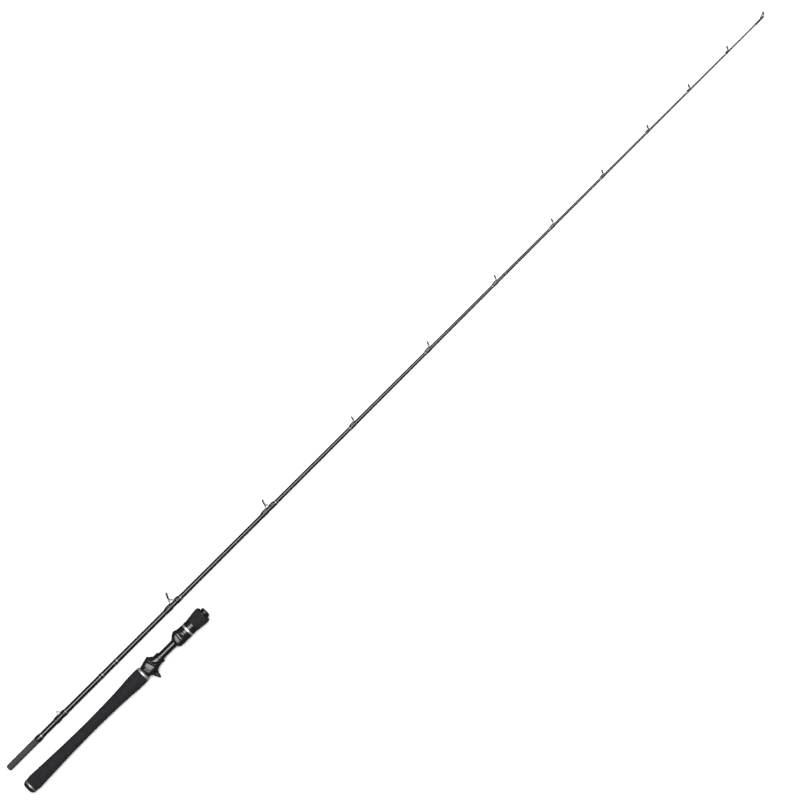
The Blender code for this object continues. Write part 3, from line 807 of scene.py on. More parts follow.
# Turned aluminium, blasted and anodised: a soft bright band. The butt's ring is the same metal given a darker
# grey and a little more roughness.
BRIGHT_RING = Lathed(
    "aluminium_bright_anodised", "silver_ring", "#d4d5d8", "#eceded", 0.5, metallic=1.0, depth_mm=0.004
)
BUTT_RING = Lathed(
    "aluminium_satin_anodised", "silver_ring", "#8e8f93", "#a2a3a7", 0.55, metallic=1.0, depth_mm=0.004
)
# Nylon thread under rod resin: black and wet-looking, with the turns just to be seen.
THREAD_BLACK = Wound("nylon_thread_black_in_resin", "thread_wrap", "#050506", "#1c1c20", 0.16)
THREAD_SILVER = Wound(
    "metallic_thread_in_resin", "silver_ring", "#96979b", "#c4c5c9", 0.42, metallic=1.0, coat=0.4
)
# Moulded nylon, lacquered on the seat and bare on the nut: black with broad soft highlights.
SEAT_GLOSS = Moulded("glass_filled_nylon_lacquered", "seat_gloss", "#0b0b0c", "#111112", 0.27)
BLACK_NYLON = Moulded("nylon_moulded_black", "black_plastic", "#0a0a0b", "#121213", 0.3, grain_mm=0.5)
# Stainless strip plated dark, and a polished ceramic ring: gunmetal round a glassy black bore.
GUIDE_STEEL = Moulded(
    "stainless_steel_dark_plated", "guide_metal", "#303034", "#424246", 0.36, metallic=1.0, grain_mm=0.4
)
GUIDE_CERAMIC = Moulded(
    "alumina_polished_dark", "guide_ceramic", "#26262a", "#2f2f34", 0.1, ior=1.76, depth_mm=0.002
)


# ---------------------------------------------------------------- handle


@dataclass
class Handle:
    """The detached handle: tube, grips, reel seat, hood and lock nut."""

    section: Section
    tube_radius: float = 6.72
    socket_radius: float = 6.0
    tube_end: float = 361.85
    socket_end: float = 433.3
    grip_profile: Knots = (
        (9.25, 12.4), (10.0, 12.85), (13.0, 13.2), (17.0, 13.85), (35.0, 13.05), (65.0, 12.0), (100.0, 10.85),
        (150.0, 10.1), (203.0, 10.9), (238.0, 12.5), (258.0, 14.0), (270.0, 14.25), (278.0, 14.0),
        (279.25, 13.3),
    )
    foregrip_profile: Knots = (
        (401.45, 12.9), (402.1, 13.2), (408.0, 13.9), (415.0, 14.65), (422.0, 15.2), (425.4, 15.0)
    )
    foregrip_bore: float = 11.0
    facets: int = 96  # columns round the axis
    barrel_start: float = 367.5
    barrel_end: float = 429.5
    barrel_crest: float = 8.85
    thread_depth: float = 0.75
    thread_pitch: float = 2.0
    nut_bore: float = 9.25
    nut_start: float = 390.25
    nut_end: float = 428.2
    notches: int = 20
    notch_depth: float = 0.55

    @property
    def tube_bore(self) -> float:
        """Bore of whatever sits on the tube, sunk a little into it."""
        return self.tube_radius - SUNK

    def turned_piece(self, name: str, corners: Corners, finish: Finish, body: Body, node: str) -> None:
        """Adds a turned piece from the corners of its profile."""
        mesh = self.section.skin(name, turned(rounded(corners), self.facets))
        add_piece(name, mesh, finish, body, [node])

    def tube_and_socket(self) -> None:
        """The tube between seat and hood, and the socket that the spigot goes into."""
        outer, inner = self.tube_radius, self.socket_radius
        start, middle, end = 6.1, self.tube_end, self.socket_end
        tube = ((start, outer, 0.0), (middle, outer, 0.0), (middle, inner, 0.0), (start, inner, 0.0))
        self.turned_piece("handle_tube_shell", tube, TUBE_LACQUER, Body.HANDLE, "handle_tube")
        socket = ((middle, outer, 0.0), (end, outer, 0.3), (end, inner, 0.35), (middle, inner, 0.0))
        self.turned_piece("ferrule_socket_shell", socket, TUBE_LACQUER, Body.HANDLE, "ferrule_socket")

    def butt(self) -> None:
        """The moulded butt cap, with a shallow ring in its end, and the bright ring before the grip."""
        cap = (
            (0.5, 0.0, 0.0), (0.5, 4.6, 0.3), (0.0, 5.0, 0.3), (0.0, 8.4, 1.2), (1.0, 10.3, 1.0),
            (3.0, 11.9, 1.2), (5.95, 13.0, 0.4), (5.95, 5.75, 0.0), (18.0, 5.75, 0.6), (18.0, 0.0, 0.0),
        )
        self.turned_piece("butt_cap_moulding", cap, BLACK_NYLON, Body.HANDLE, "butt_cap")
        bore = self.tube_bore
        ring = (
            (5.95, 12.8, 0.25), (7.6, 13.1, 0.8), (9.25, 12.8, 0.25), (9.25, bore, 0.0), (5.95, bore, 0.0)
        )
        self.turned_piece("butt_ring_satin", ring, BUTT_RING, Body.HANDLE, "butt_ring")

    def foam_sleeve(self, name: str, knots: Knots, bore: float, body: Body, node: str) -> None:
        """A foam grip whose radius runs through knots along the axis.

        Args:
            name: the piece's name.
            knots: pairs of distance and radius.
            bore: radius of its bore.
            body: what it rides on.
            node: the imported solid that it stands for.
        """
        start, end = knots[0][0], knots[-1][0]
        x = np.unique(np.concatenate([np.arange(start, end, 1.2), np.array(knots)[:, 0]]))
        outer = np.stack([x, monotone(knots, x)], axis=-1)
        profile = np.concatenate([[[start, bore]], outer, [[end, bore]]])
        mesh = self.section.skin(name, turned(profile, self.facets))
        add_piece(name, mesh, EVA_FOAM, body, [node])

    def grips(self) -> None:
        """The long foam grip, the bright ring at its front, and the foam foregrip on the nut."""
        bore = self.tube_bore
        self.foam_sleeve("rear_grip_foam", self.grip_profile, bore, Body.HANDLE, "rear_grip")
        ring = (
            (279.25, 13.5, 0.25), (280.6, 14.0, 0.6), (282.2, 13.5, 0.6), (283.85, 11.8, 0.4),
            (283.85, bore, 0.0), (279.25, bore, 0.0),
        )
        self.turned_piece("grip_check_ring_bright", ring, BRIGHT_RING, Body.HANDLE, "grip_check_ring")
        bore = self.foregrip_bore - SUNK
        self.foam_sleeve("foregrip_foam", self.foregrip_profile, bore, Body.NUT, "foregrip")

    def barrel(self) -> None:
        """The threaded barrel that the nut turns on, which shows when the nut is run back.

        The radius is the crest less the thread's depth times a clipped cosine of
        2 pi (distance / pitch - turn), so that the ridge climbs one pitch in a turn.
        """
        x = np.linspace(self.barrel_start, self.barrel_end, 320)[:, None]
        turn = (np.arange(self.facets) / self.facets)[None, :]
        wave = np.clip(0.5 + 0.9 * np.cos(2.0 * math.pi * (x / self.thread_pitch - turn)), 0.0, 1.0)
        edge = smooth_step((x - self.barrel_start) / 1.0) * smooth_step((self.barrel_end - x) / 1.0)
        radius = self.barrel_crest - self.thread_depth * (1.0 - wave * edge)
        outer = around(x, radius, 2.0 * math.pi * turn)
        bore = np.array([[self.barrel_end, self.tube_bore], [self.barrel_start, self.tube_bore]])
        mesh = self.section.skin("thread_barrel_cut", np.concatenate([outer, turned(bore, self.facets)]))
        add_piece("thread_barrel_cut", mesh, BLACK_NYLON, Body.HANDLE, ["thread_barrel"])

    def nut(self) -> None:
        """The lock nut: a spool that carries the foam, with its ring and a notched front flange.

        Each of the flange's notches lowers the radius where the cosine of the number of notches
        times the angle is near 1, between two distances, and only far out on the flange.
        """
        bore, start, end = self.nut_bore, self.nut_start, self.nut_end
        ring = (
            (386.7, 12.4, 0.25), (388.4, 12.65, 0.9), (start, 12.4, 0.25),
            (start, bore, 0.0), (386.7, bore, 0.0),
        )
        self.turned_piece("nut_ring_bright", ring, BRIGHT_RING, Body.NUT, "nut_ring")
        under_foam = self.foregrip_bore
        spool = rounded(
            (
                (start, 12.55, 0.3), (391.6, 12.75, 0.6), (396.0, 12.45, 2.5), (401.45, 12.75, 0.3),
                (401.45, under_foam, 0.0), (425.4, under_foam, 0.0), (425.4, 14.9, 0.2), (427.0, 14.3, 1.0),
                (end, 12.4, 0.8), (end, 9.9, 0.3), (427.4, bore, 0.2), (start, bore, 0.0),
            )
        )
        fine = np.array([[425.9, 14.78], [426.5, 14.55]])  # two more rows where the notches are
        flange_row = int(np.argmax(spool[:, 1] > 14.5))
        spool = np.concatenate([spool[: flange_row + 4], fine, spool[flange_row + 4 :]])
        columns = 240
        grid = turned(spool, columns)
        angle = np.arange(columns) / columns * 2.0 * math.pi
        notch = smooth_step((np.cos(self.notches * angle) - 0.55) / 0.3)[None, :, None]
        window = smooth_step((grid[..., :1] - 425.6) / 0.4) * smooth_step((427.9 - grid[..., :1]) / 0.4)
        reach = np.linalg.norm(grid[..., 1:], axis=-1, keepdims=True)
        outside = smooth_step((reach - 12.6) / 0.6)
        grid[..., 1:] *= 1.0 - self.notch_depth * notch * window * outside / reach
        mesh = self.section.skin("lock_nut_spool", grid)
        add_piece("lock_nut_spool", mesh, BLACK_NYLON, Body.NUT, ["lock_nut"])

    def collar(self) -> None:
        """The rounded collar round the socket's mouth."""
        bore = self.tube_bore
        profile = (
            (429.8, 8.8, 0.3), (430.3, 9.1, 0.4), (432.0, 9.05, 0.9), (433.7, 7.75, 0.5),
            (433.7, 6.9, 0.15), (433.2, bore, 0.0), (429.8, bore, 0.0),
        )
        self.turned_piece("front_collar_moulding", profile, BLACK_NYLON, Body.HANDLE, "front_collar")

    def build(self) -> None:
        """Builds the handle from its butt forward."""
        self.tube_and_socket()
        self.butt()
        self.grips()
        self.barrel()
        self.nut()
        self.collar()


@dataclass
class SeatHalf:
    """What the two moulded halves of the reel seat share: an egg-shaped body and a foot pocket."""

    section: Section
    start: float = 0.0
    end: float = 0.0
    tops: Knots = ()
    bottoms: Knots = ()
    powers: Knots = ()  # how square the cross-section is: 2 is an ellipse
    pocket: Knots = ()  # height of the pocket's roof along the axis
    mouth: float = 0.0  # where the pocket's roof ends and the open bed begins
    mouth_side: float = 1.0  # 1 if the bed lies ahead of the mouth, -1 if behind
    pocket_half_width: float = 5.3
    foot_bed: float = 9.3
    bore: float = 6.97 - SUNK
    cell: float = 0.3

    def half_width(self, x: Points, y: Points) -> Points:
        """Half the body's width at a distance and a height."""
        raise NotImplementedError

    def body(self, p: Points) -> Points:
        """Distance outside the egg: the radius less the superellipse's own reach at that angle.

        Args:
            p: points in the section's frame, in millimetres.

        Returns:
            The field.
        """
        x, y, z = p[..., 0], p[..., 1], p[..., 2]
        height = np.where(y > 0.0, monotone(self.tops, x), monotone(self.bottoms, x))
        power = monotone(self.powers, x)
        radius = np.maximum(np.hypot(y, z), 1e-6)
        across, up = np.abs(z) / radius / self.half_width(x, y), np.abs(y) / radius / height
        return radius - (across**power + up**power) ** (-1.0 / power)

    def pocket_field(self, p: Points) -> Points:
        """Distance outside the room for the reel's foot.

        Under the roof it is an arch, half an ellipse that stands on the bed. Past the mouth it is
        a slot, open to the sky.

        Args:
            p: points in the section's frame, in millimetres.

        Returns:
            The field.
        """
        x, y, z = p[..., 0], p[..., 1], p[..., 2]
        rise = np.maximum(monotone(self.pocket, x) - self.foot_bed, 0.3)
        arch = np.hypot(z / self.pocket_half_width, (y - self.foot_bed) / rise) - 1.0
        arch = arch * np.minimum(rise, self.pocket_half_width)
        arch = smooth_max(arch, np.maximum(self.pocket[0][0] - x, x - self.pocket[-1][0]), 0.4)
        slot = smooth_max(np.abs(z) - self.pocket_half_width, self.mouth_side * (self.mouth - x), 0.8)
        return smooth_max(smooth_min(arch, slot, 0.4), self.foot_bed - y, 0.5)

    def cut_ends_and_bore(self, solid: Points, p: Points) -> Points:
        """Cuts a solid square at both ends, with eased edges, and bores it for the tube.

        Args:
            solid: the solid's field.
            p: points in the section's frame, in millimetres.

        Returns:
            The cut field.
        """
        x = p[..., 0]
        middle, half = (self.start + self.end) / 2.0, (self.end - self.start) / 2.0
        solid = smooth_max(solid, np.abs(x - middle) - half, 0.9)
        return smooth_max(solid, self.bore - np.hypot(p[..., 1], p[..., 2]), 0.3)


@dataclass
class ReelSeat(SeatHalf):
    """The fixed half of the reel seat, with its hood, foot bed, side flutes and finger trigger."""

    start: float = 283.85
    end: float = 323.8
    tops: Knots = (
        (284.0, 11.3), (288.0, 12.4), (297.0, 14.7), (304.0, 16.35), (306.4, 16.8), (308.2, 15.9),
        (314.0, 11.0), (316.4, 9.9), (318.4, 9.7), (319.4, 10.1), (323.0, 10.1), (323.8, 9.6),
    )
    bottoms: Knots = (
        (284.0, 10.7), (290.0, 11.4), (304.6, 11.5), (311.0, 10.4), (316.5, 9.6), (319.2, 10.2), (323.8, 10.0)
    )
    powers: Knots = (
        (284.0, 2.1), (291.0, 3.5), (302.0, 3.8), (307.0, 2.5), (315.5, 2.2), (319.0, 2.0), (324.0, 2.0)
    )
    pocket: Knots = ((293.5, 10.6), (300.0, 13.2), (306.0, 14.5), (326.0, 16.3))
    mouth: float = 306.6
    mouth_side: float = 1.0
    rear_width: Knots = (
        (284.0, 10.1), (288.0, 11.35), (291.2, 12.3), (293.2, 12.65), (297.0, 12.75), (324.0, 12.5)
    )
    front_width: Knots = (
        (284.0, 10.7), (308.0, 10.7), (316.4, 9.85), (318.0, 9.6), (319.4, 10.1), (324.0, 10.1)
    )
    crease: float = 302.05  # where the crease crosses the axis
    crease_lean: float = -0.35
    crease_width: float = 3.4
    scoop_line: tuple[float, float] = (310.8, -1.0)  # distance where it crosses the axis, and lean
    scoop_slope: float = 0.34
    brow_height: float = 4.2
    scoop_depth: float = 2.0
    trigger_centre: Knots = (
        (3.4, 302.0), (6.0, 301.6), (8.2, 300.5), (12.2, 297.9), (15.9, 297.4), (20.0, 297.5), (26.1, 298.2)
    )
    trigger_length: Knots = (
        (3.4, 15.9), (6.0, 15.0), (8.2, 12.2), (10.2, 9.2), (12.2, 7.1), (15.9, 4.9), (20.0, 3.4),
        (24.0, 2.1), (26.1, 1.2),
    )
    trigger_width: Knots = (
        (3.4, 8.3), (6.0, 8.0), (8.2, 6.9), (12.2, 5.3), (15.9, 4.5), (20.0, 4.0), (26.1, 2.6)
    )
    trigger_tip: float = 26.05
    trigger_root: float = 4.0
    flute_starts: tuple[float, float] = (289.8, 292.3)
    flute_lean: float = -0.3
    flute_half_width: float = 0.72
    flute_depth: float = 0.36

    def half_width(self, x: Points, y: Points) -> Points:
        """Steps in at a slanting crease on the side, ahead of which a finger scoop begins.

        The step is an S-curve of the distance past the crease. The scoop falls evenly towards the
        trigger from another slanting line, down to its full depth. The brow falls the same way
        above a fixed height, towards the hood's lip.

        Args:
            x: distances along the axis.
            y: heights towards the guides' side.

        Returns:
            Half widths.
        """
        fallen = smooth_step((x - self.crease - self.crease_lean * y) / self.crease_width)
        at, lean = self.scoop_line
        below = smooth_max((x - at) / lean - y, 0.0, 1.5)
        above = smooth_max(y - self.brow_height, 0.0, 1.5)
        scoop, brow = (smooth_min(self.scoop_slope * past, self.scoop_depth, 1.6) for past in (below, above))
        rear = monotone(self.rear_width, x)
        return rear + (monotone(self.front_width, x) - scoop - brow - rear) * fallen

    def trigger(self, p: Points) -> Points:
        """Distance outside the trigger: an ellipse across it, whose size depends on the depth.

        Args:
            p: points in the section's frame, in millimetres.

        Returns:
            The field.
        """
        depth = -p[..., 1]
        length, width = monotone(self.trigger_length, depth), monotone(self.trigger_width, depth)
        along = (p[..., 0] - monotone(self.trigger_centre, depth)) / length
        ellipse = (np.hypot(along, p[..., 2] / width) - 1.0) * np.minimum(length, width)
        return smooth_max(smooth_max(ellipse, depth - self.trigger_tip, 1.6), self.trigger_root - depth, 0.5)

    def flutes(self, p: Points) -> Points:
        """Depth of two slanting grooves behind the trigger: bell curves across each groove.

        Args:
            p: points in the section's frame, in millimetres.

        Returns:
            Depths.
        """
        x, y = p[..., 0], p[..., 1]
        fade = smooth_step((y + 16.0) / 4.0) * smooth_step((8.0 - y) / 5.0)
        aside = [(x - start - self.flute_lean * y) / self.flute_half_width for start in self.flute_starts]
        return self.flute_depth * fade * sum(np.exp(-(away**2)) for away in aside)

    def shape(self, p: Points) -> Points:
        """The whole solid: body and trigger with a fillet, less flutes, pocket and bore.

        Args:
            p: points in the section's frame, in millimetres.

        Returns:
            The field.
        """
        solid = smooth_min(self.body(p), self.trigger(p), 3.5) + self.flutes(p)
        solid = smooth_max(solid, -self.pocket_field(p), 0.6)
        return self.cut_ends_and_bore(solid, p)

    def build(self) -> None:
        """Adds the fixed half of the seat."""
        low, high = np.array([283.0, -27.0, -13.8]), np.array([324.8, 18.0, 13.8])
        mesh = self.section.mould("reel_seat_moulding", self.shape, low, high, self.cell)
        add_piece("reel_seat_moulding", mesh, SEAT_GLOSS, Body.HANDLE, ["reel_seat"])


@dataclass
class FrontHood(SeatHalf):
    """The sliding half of the reel seat, pushed along the tube by the lock nut."""

    start: float = 356.6
    end: float = 386.6
    tops: Knots = (
        (356.6, 8.2), (358.4, 8.9), (360.2, 10.9), (362.2, 12.7), (366.0, 14.9), (368.6, 15.8), (370.4, 15.3),
        (372.2, 14.6), (376.5, 13.3), (386.6, 12.7),
    )
    bottoms: Knots = (
        (356.6, 8.6), (358.4, 9.9), (360.2, 11.7), (362.6, 12.5), (368.0, 12.7), (386.6, 12.8)
    )
    powers: Knots = ((356.6, 2.2), (360.0, 2.9), (367.0, 3.0), (376.5, 2.3), (378.5, 2.0), (386.6, 2.0))
    pocket: Knots = ((355.0, 15.4), (366.0, 13.6), (372.0, 12.4), (378.0, 10.4))
    mouth: float = 366.2
    mouth_side: float = -1.0
    pocket_half_width: float = 5.2
    widths: Knots = (
        (356.6, 9.0), (358.0, 10.9), (359.6, 12.2), (361.4, 12.6), (364.6, 12.8), (366.8, 12.7),
        (369.9, 11.35), (370.8, 11.35), (377.0, 12.6), (377.8, 12.7), (387.0, 12.7),
    )
    lean: float = -0.12
    groove_at: float = 380.2
    groove_depth: float = 0.35
    chamber_start: float = 366.5
    chamber_radius: float = 9.25

    def half_width(self, x: Points, y: Points) -> Points:
        """A cheek, then a shallow thumb scoop, then a round collar, all slanting with the height."""
        slant = self.lean * y * smooth_step((374.0 - x) / 10.0)
        return monotone(self.widths, x + slant)

    def shape(self, p: Points) -> Points:
        """The whole solid: body less groove, pocket, bore and the chamber for the barrel.

        Args:
            p: points in the section's frame, in millimetres.

        Returns:
            The field.
        """
        groove = self.groove_depth * np.exp(-(((p[..., 0] - self.groove_at) / 0.45) ** 2))
        solid = smooth_max(self.body(p) + groove, -self.pocket_field(p), 0.6)
        radius = np.hypot(p[..., 1], p[..., 2])
        chamber = smooth_max(radius - self.chamber_radius, self.chamber_start - p[..., 0], 0.3)
        return self.cut_ends_and_bore(smooth_max(solid, -chamber, 0.3), p)

    def build(self) -> None:
        """Adds the sliding hood."""
        low, high = np.array([355.6, -14.2, -13.8]), np.array([387.4, 17.0, 13.8])
        mesh = self.section.mould("sliding_hood_moulding", self.shape, low, high, self.cell)
        add_piece("sliding_hood_moulding", mesh, SEAT_GLOSS, Body.HOOD, ["sliding_hood"])


# ---------------------------------------------------------------- blank section


@dataclass
class Guide:
    """One line guide: a frame bent from strip, a ceramic ring in it, and the wraps on its feet."""

    number: int
    base: float
    ring_height: float
    ring_radius: float
    lean_degrees: float
    wrap_length: float
    front_reach: float | None = None  # where the front foot begins, from the base

    @property
    def lean(self) -> float:
        """How far the ring leans forward, in radians."""
        return math.radians(self.lean_degrees)

    @property
    def foot_half(self) -> float:
        """Half the width of the foot."""
        return 0.3 * self.ring_radius


@dataclass
class BlankSection:
    """The long section: blank, spigot, keeper, guides, tip-top and all their thread wraps."""

    section: Section
    taper_start: float = 81.0
    taper_end: float = 1836.0
    butt_radius: float = 5.15
    tip_radius: float = 1.15
    spigot: tuple[float, float, float] = (1.2, 68.5, 5.82)
    trim_width: float = 1.7
    keeper_rear: tuple[float, float] = (114.2, 125.4)
    keeper_front: tuple[float, float] = (131.9, 139.4)
    keeper_middle: float = 128.7
    keeper_height: float = 11.55
    bands: tuple[float, float] = (222.8, 257.6)
    band_length: float = 7.2
    front_wrap_length: float = 12.0
    tip_wrap: tuple[float, float] = (1818.0, 1828.6)
    tip_ring_at: float = 1842.25
    tip_ring_height: float = 4.3
    tip_ring_radius: float = 3.2
    tip_lean_degrees: float = 35.0
    guides: Sequence[Guide] = field(
        default_factory=lambda: (
            Guide(1, 397.8, 18.1, 6.5, 25.0, 15.5, 9.6),
            Guide(2, 631.5, 15.6, 5.3, 21.0, 14.6, 7.6),
            Guide(3, 844.8, 9.4, 4.2, 18.0, 12.0),
            Guide(4, 1027.8, 9.3, 3.7, 24.0, 11.5),
            Guide(5, 1190.6, 8.8, 3.6, 24.0, 10.6),
            Guide(6, 1329.3, 8.4, 3.6, 24.0, 10.2),
            Guide(7, 1450.6, 6.7, 3.5, 24.0, 9.0),
            Guide(8, 1560.7, 6.7, 3.4, 24.0, 8.6),
            Guide(9, 1660.9, 6.1, 3.4, 24.0, 8.3),
            Guide(10, 1754.5, 6.2, 3.3, 24.0, 7.8),
        )
    )

    def radius_at(self, x: Points | float) -> Points:
        """Outside radius of the blank: an even taper between its two ends."""
        return np.interp(x, (self.taper_start, self.taper_end), (self.butt_radius, self.tip_radius))

    def add(self, name: str, grid: Points, finish: Finish, nodes: Sequence[str], closed: bool = True) -> None:
        """Skins a grid and adds it as a piece of the blank section."""
        add_piece(name, self.section.skin(name, grid, closed), finish, Body.BLANK, nodes)

    def tube(self) -> None:
        """The hollow blank, the ground spigot on its stub and the plug in the spigot's end."""
        rear, front = self.taper_start, self.taper_end
        x = np.linspace(rear, front, 72)
        x = np.sort(np.concatenate([x, (rear + 0.1, front - 0.1)]))  # keeps the ends' shading short
        outer = np.stack([x, self.radius_at(x)], axis=-1)
        stub = np.array([[3.0, 3.9], [3.0, 4.9], [rear - 1.0, 4.9]])
        bore = np.array([[front, 0.5], [rear, 3.9]])
        tube = turned(np.concatenate([stub, outer, bore]), 64)
        self.add("blank_tube_lacquered", tube, BLANK_LACQUER, ["blank_tube"])
        start, end, radius = self.spigot
        chamfer, sunk = (start, radius - 0.45, 0.2), ((end, 4.85, 0.0), (start, 4.85, 0.0))
        sleeve = rounded((chamfer, (start + 0.9, radius, 0.5), (end, radius, 0.4), *sunk))
        self.add("ferrule_spigot_ground", turned(sleeve, 80), SPIGOT_GROUND, ["ferrule_spigot"])
        lip = ((0.0, 0.0, 0.0), (0.0, 4.4, 0.35), (1.15, 5.2, 0.3), (1.15, 3.9, 0.0))
        plug = rounded((*lip, (10.0, 3.6, 0.4), (10.0, 0.0, 0.0)))
        self.add("spigot_plug_moulding", turned(plug, 64), BLACK_NYLON, ["spigot_end_plug"])

    def trim(self, name: str, start: float, radius: float) -> None:
        """A band of a few turns of metallic thread.

        The radius swells over each turn as the square root of half a sine wave.

        Args:
            name: the piece's name.
            start: distance of its rear edge.
            radius: radius at the crests.
        """
        turns, swell = 4, 0.09
        share = np.linspace(0.0, 1.0, 8 * turns + 1)
        crest = radius - swell * (1.0 - np.sqrt(np.abs(np.sin(math.pi * turns * share))))
        outer = np.stack([start + share * self.trim_width, crest], axis=-1)
        bore = radius - 0.45
        profile = np.concatenate([[[start, bore]], outer, [[start + self.trim_width, bore]]])
        self.add(name, turned(profile, 64), THREAD_SILVER, [])

    def band(self, name: str, start: float, end: float, thickness: float, node: str) -> None:
        """A plain wrap all round the blank. Its ends round off in quarter circles onto the blank.

        Args:
            name: the piece's name.
            start: rear end.
            end: front end.
            thickness: thickness of the thread and resin.
            node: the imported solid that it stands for.
        """
        share = np.linspace(0.0, 1.0, 41)
        x = start + share * (end - start)
        rounding = 1.1
        edge = np.clip(np.minimum(x - start, end - x) / rounding, 0.0, 1.0)
        rise = thickness * np.sqrt(1.0 - (1.0 - edge) ** 2)
        outer = np.stack([x, self.radius_at(x) - SUNK + rise], axis=-1)
        bore = np.array([[end, self.radius_at(end) - 4 * SUNK], [start, self.radius_at(start) - 4 * SUNK]])
        self.add(name, turned(np.concatenate([outer, bore]), 72), THREAD_BLACK, [node])

    def foot_wrap(
        self, name: str, start: float, end: float, foot_half: float, foot_top: float, way_out: End
    ) -> None:
        """A wrap over a guide's foot, with a tunnel-shaped swelling on the guides' side.

        The radius is the blank's plus the thread's thickness, which rounds off at both ends, plus
        a swelling. The swelling is the foot's height, times an S-curve along the wrap from its
        closed end, times an S-curve of the angle from the guides' side.

        Args:
            name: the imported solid's name, which the piece's name comes from.
            start: rear end.
            end: front end.
            foot_half: half width of the foot.
            foot_top: height of the foot over the blank.
            way_out: the end that the foot comes out of.
        """
        columns = 96
        x = np.linspace(start, end, 61)[:, None]
        angle = (np.arange(columns) / columns * 2.0 * math.pi)[None, :]
        blank = self.radius_at(x)
        thread = 0.12 + 0.11 * blank  # more coats of resin on a thicker blank
        edge = np.clip(np.minimum(x - start, end - x) / (0.9 + 0.6 * thread), 0.0, 1.0)
        rounding = np.sqrt(1.0 - (1.0 - edge) ** 2)
        closed_end = (x - start if way_out is End.FRONT else end - x) / (end - start)
        along = smooth_step((closed_end - 0.06) / 0.34) * rounding**0.5
        turn = np.minimum(angle, 2.0 * math.pi - angle)
        reach, fall = np.arctan2(foot_half + 0.25, blank), 0.62  # angles that the swelling spans
        across = smooth_step((reach + fall - turn) / fall)
        outer = around(x, blank - SUNK + thread * rounding + foot_top * along * across, angle)
        ends = np.array([[end, self.radius_at(end)], [start, self.radius_at(start)]]) - (0.0, 4 * SUNK)
        self.add(f"{name}_threads", np.concatenate([outer, turned(ends, columns)]), THREAD_BLACK, [name])

    def butt_end(self) -> None:
        """The wrap where spigot and blank meet, the two trim bands, and their silver threads."""
        profile = rounded(
            (
                (68.7, 5.5, 0.0), (69.0, 5.95, 0.3), (70.4, 6.3, 0.9), (77.6, 6.25, 1.5), (79.7, 5.6, 0.6),
                (79.7, 5.0, 0.0), (68.7, 5.0, 0.0),
            )
        )
        self.add("butt_wrap_threads", turned(profile, 80), THREAD_BLACK, ["butt_wrap"])
        self.trim("butt_wrap_trim", 79.4, 5.6)
        for name, start in zip(("trim_band_rear", "trim_band_front"), self.bands):
            self.band(f"{name}_threads", start, start + self.band_length, 0.4, name)
            radius = float(self.radius_at(start)) + 0.42
            self.trim(f"{name}_trim_a", start - 0.2, radius - 0.12)
            self.trim(f"{name}_trim_b", start + self.band_length - self.trim_width + 0.3, radius)

    def keeper(self) -> None:
        """The hook keeper: a wire arch, the same on both sides, whose feet run under a wrap each."""
        low = float(self.radius_at(self.keeper_rear[1])) + 0.3
        rear, front = self.keeper_rear[0] + 4.4, self.keeper_front[1] - 2.8  # ends of the wire's feet
        half = np.array([(3.3, low), (2.5, low + 0.7), (2.15, 8.6), (1.4, 10.7)])
        middle = np.array([self.keeper_middle, 0.0])
        rear_foot, front_foot = [(rear, low), (rear + 4.0, low)], [(front - 2.0, low), (front, low)]
        top = [(self.keeper_middle, self.keeper_height)]
        arch = np.concatenate([rear_foot, middle + half * (-1.0, 1.0), top, middle + half[::-1], front_foot])
        path = smooth_path(np.column_stack([arch, np.zeros(len(arch))]), 6, closed=False)
        wire = swept(path, 0.52, 0.55, ACROSS, False)
        self.add("hook_keeper_wire", wire, GUIDE_STEEL, ["hook_keeper"], False)
        self.foot_wrap("keeper_rear_wrap", *self.keeper_rear, 0.45, 0.55, End.FRONT)
        self.foot_wrap("keeper_front_wrap", *self.keeper_front, 0.45, 0.55, End.REAR)
        self.trim("keeper_trim", 138.7, float(self.radius_at(139.0)) + 0.4)

    def ceramic(self, name: str, centre: Points, lean: float, radius: float, depth: float, node: str) -> None:
        """A polished ring for the line, rounded all round: a squared ellipse turned about its middle.

        Args:
            name: the piece's name.
            centre: the ring's middle.
            lean: how far it leans forward, in radians.
            radius: outside radius.
            depth: half its length through the bore.
            node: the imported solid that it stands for.
        """
        wall, squareness = 0.26 * radius, 0.8
        cos, sin = squared(np.linspace(0.0, 2.0 * math.pi, 20, endpoint=False), squareness)
        height = depth * sin
        reach = radius - wall / 2.0 * (1.0 - cos)
        grid = leaning_ring(centre, lean, np.stack([height, reach], axis=-1), 56)
        self.add(name, grid, GUIDE_CERAMIC, [node])

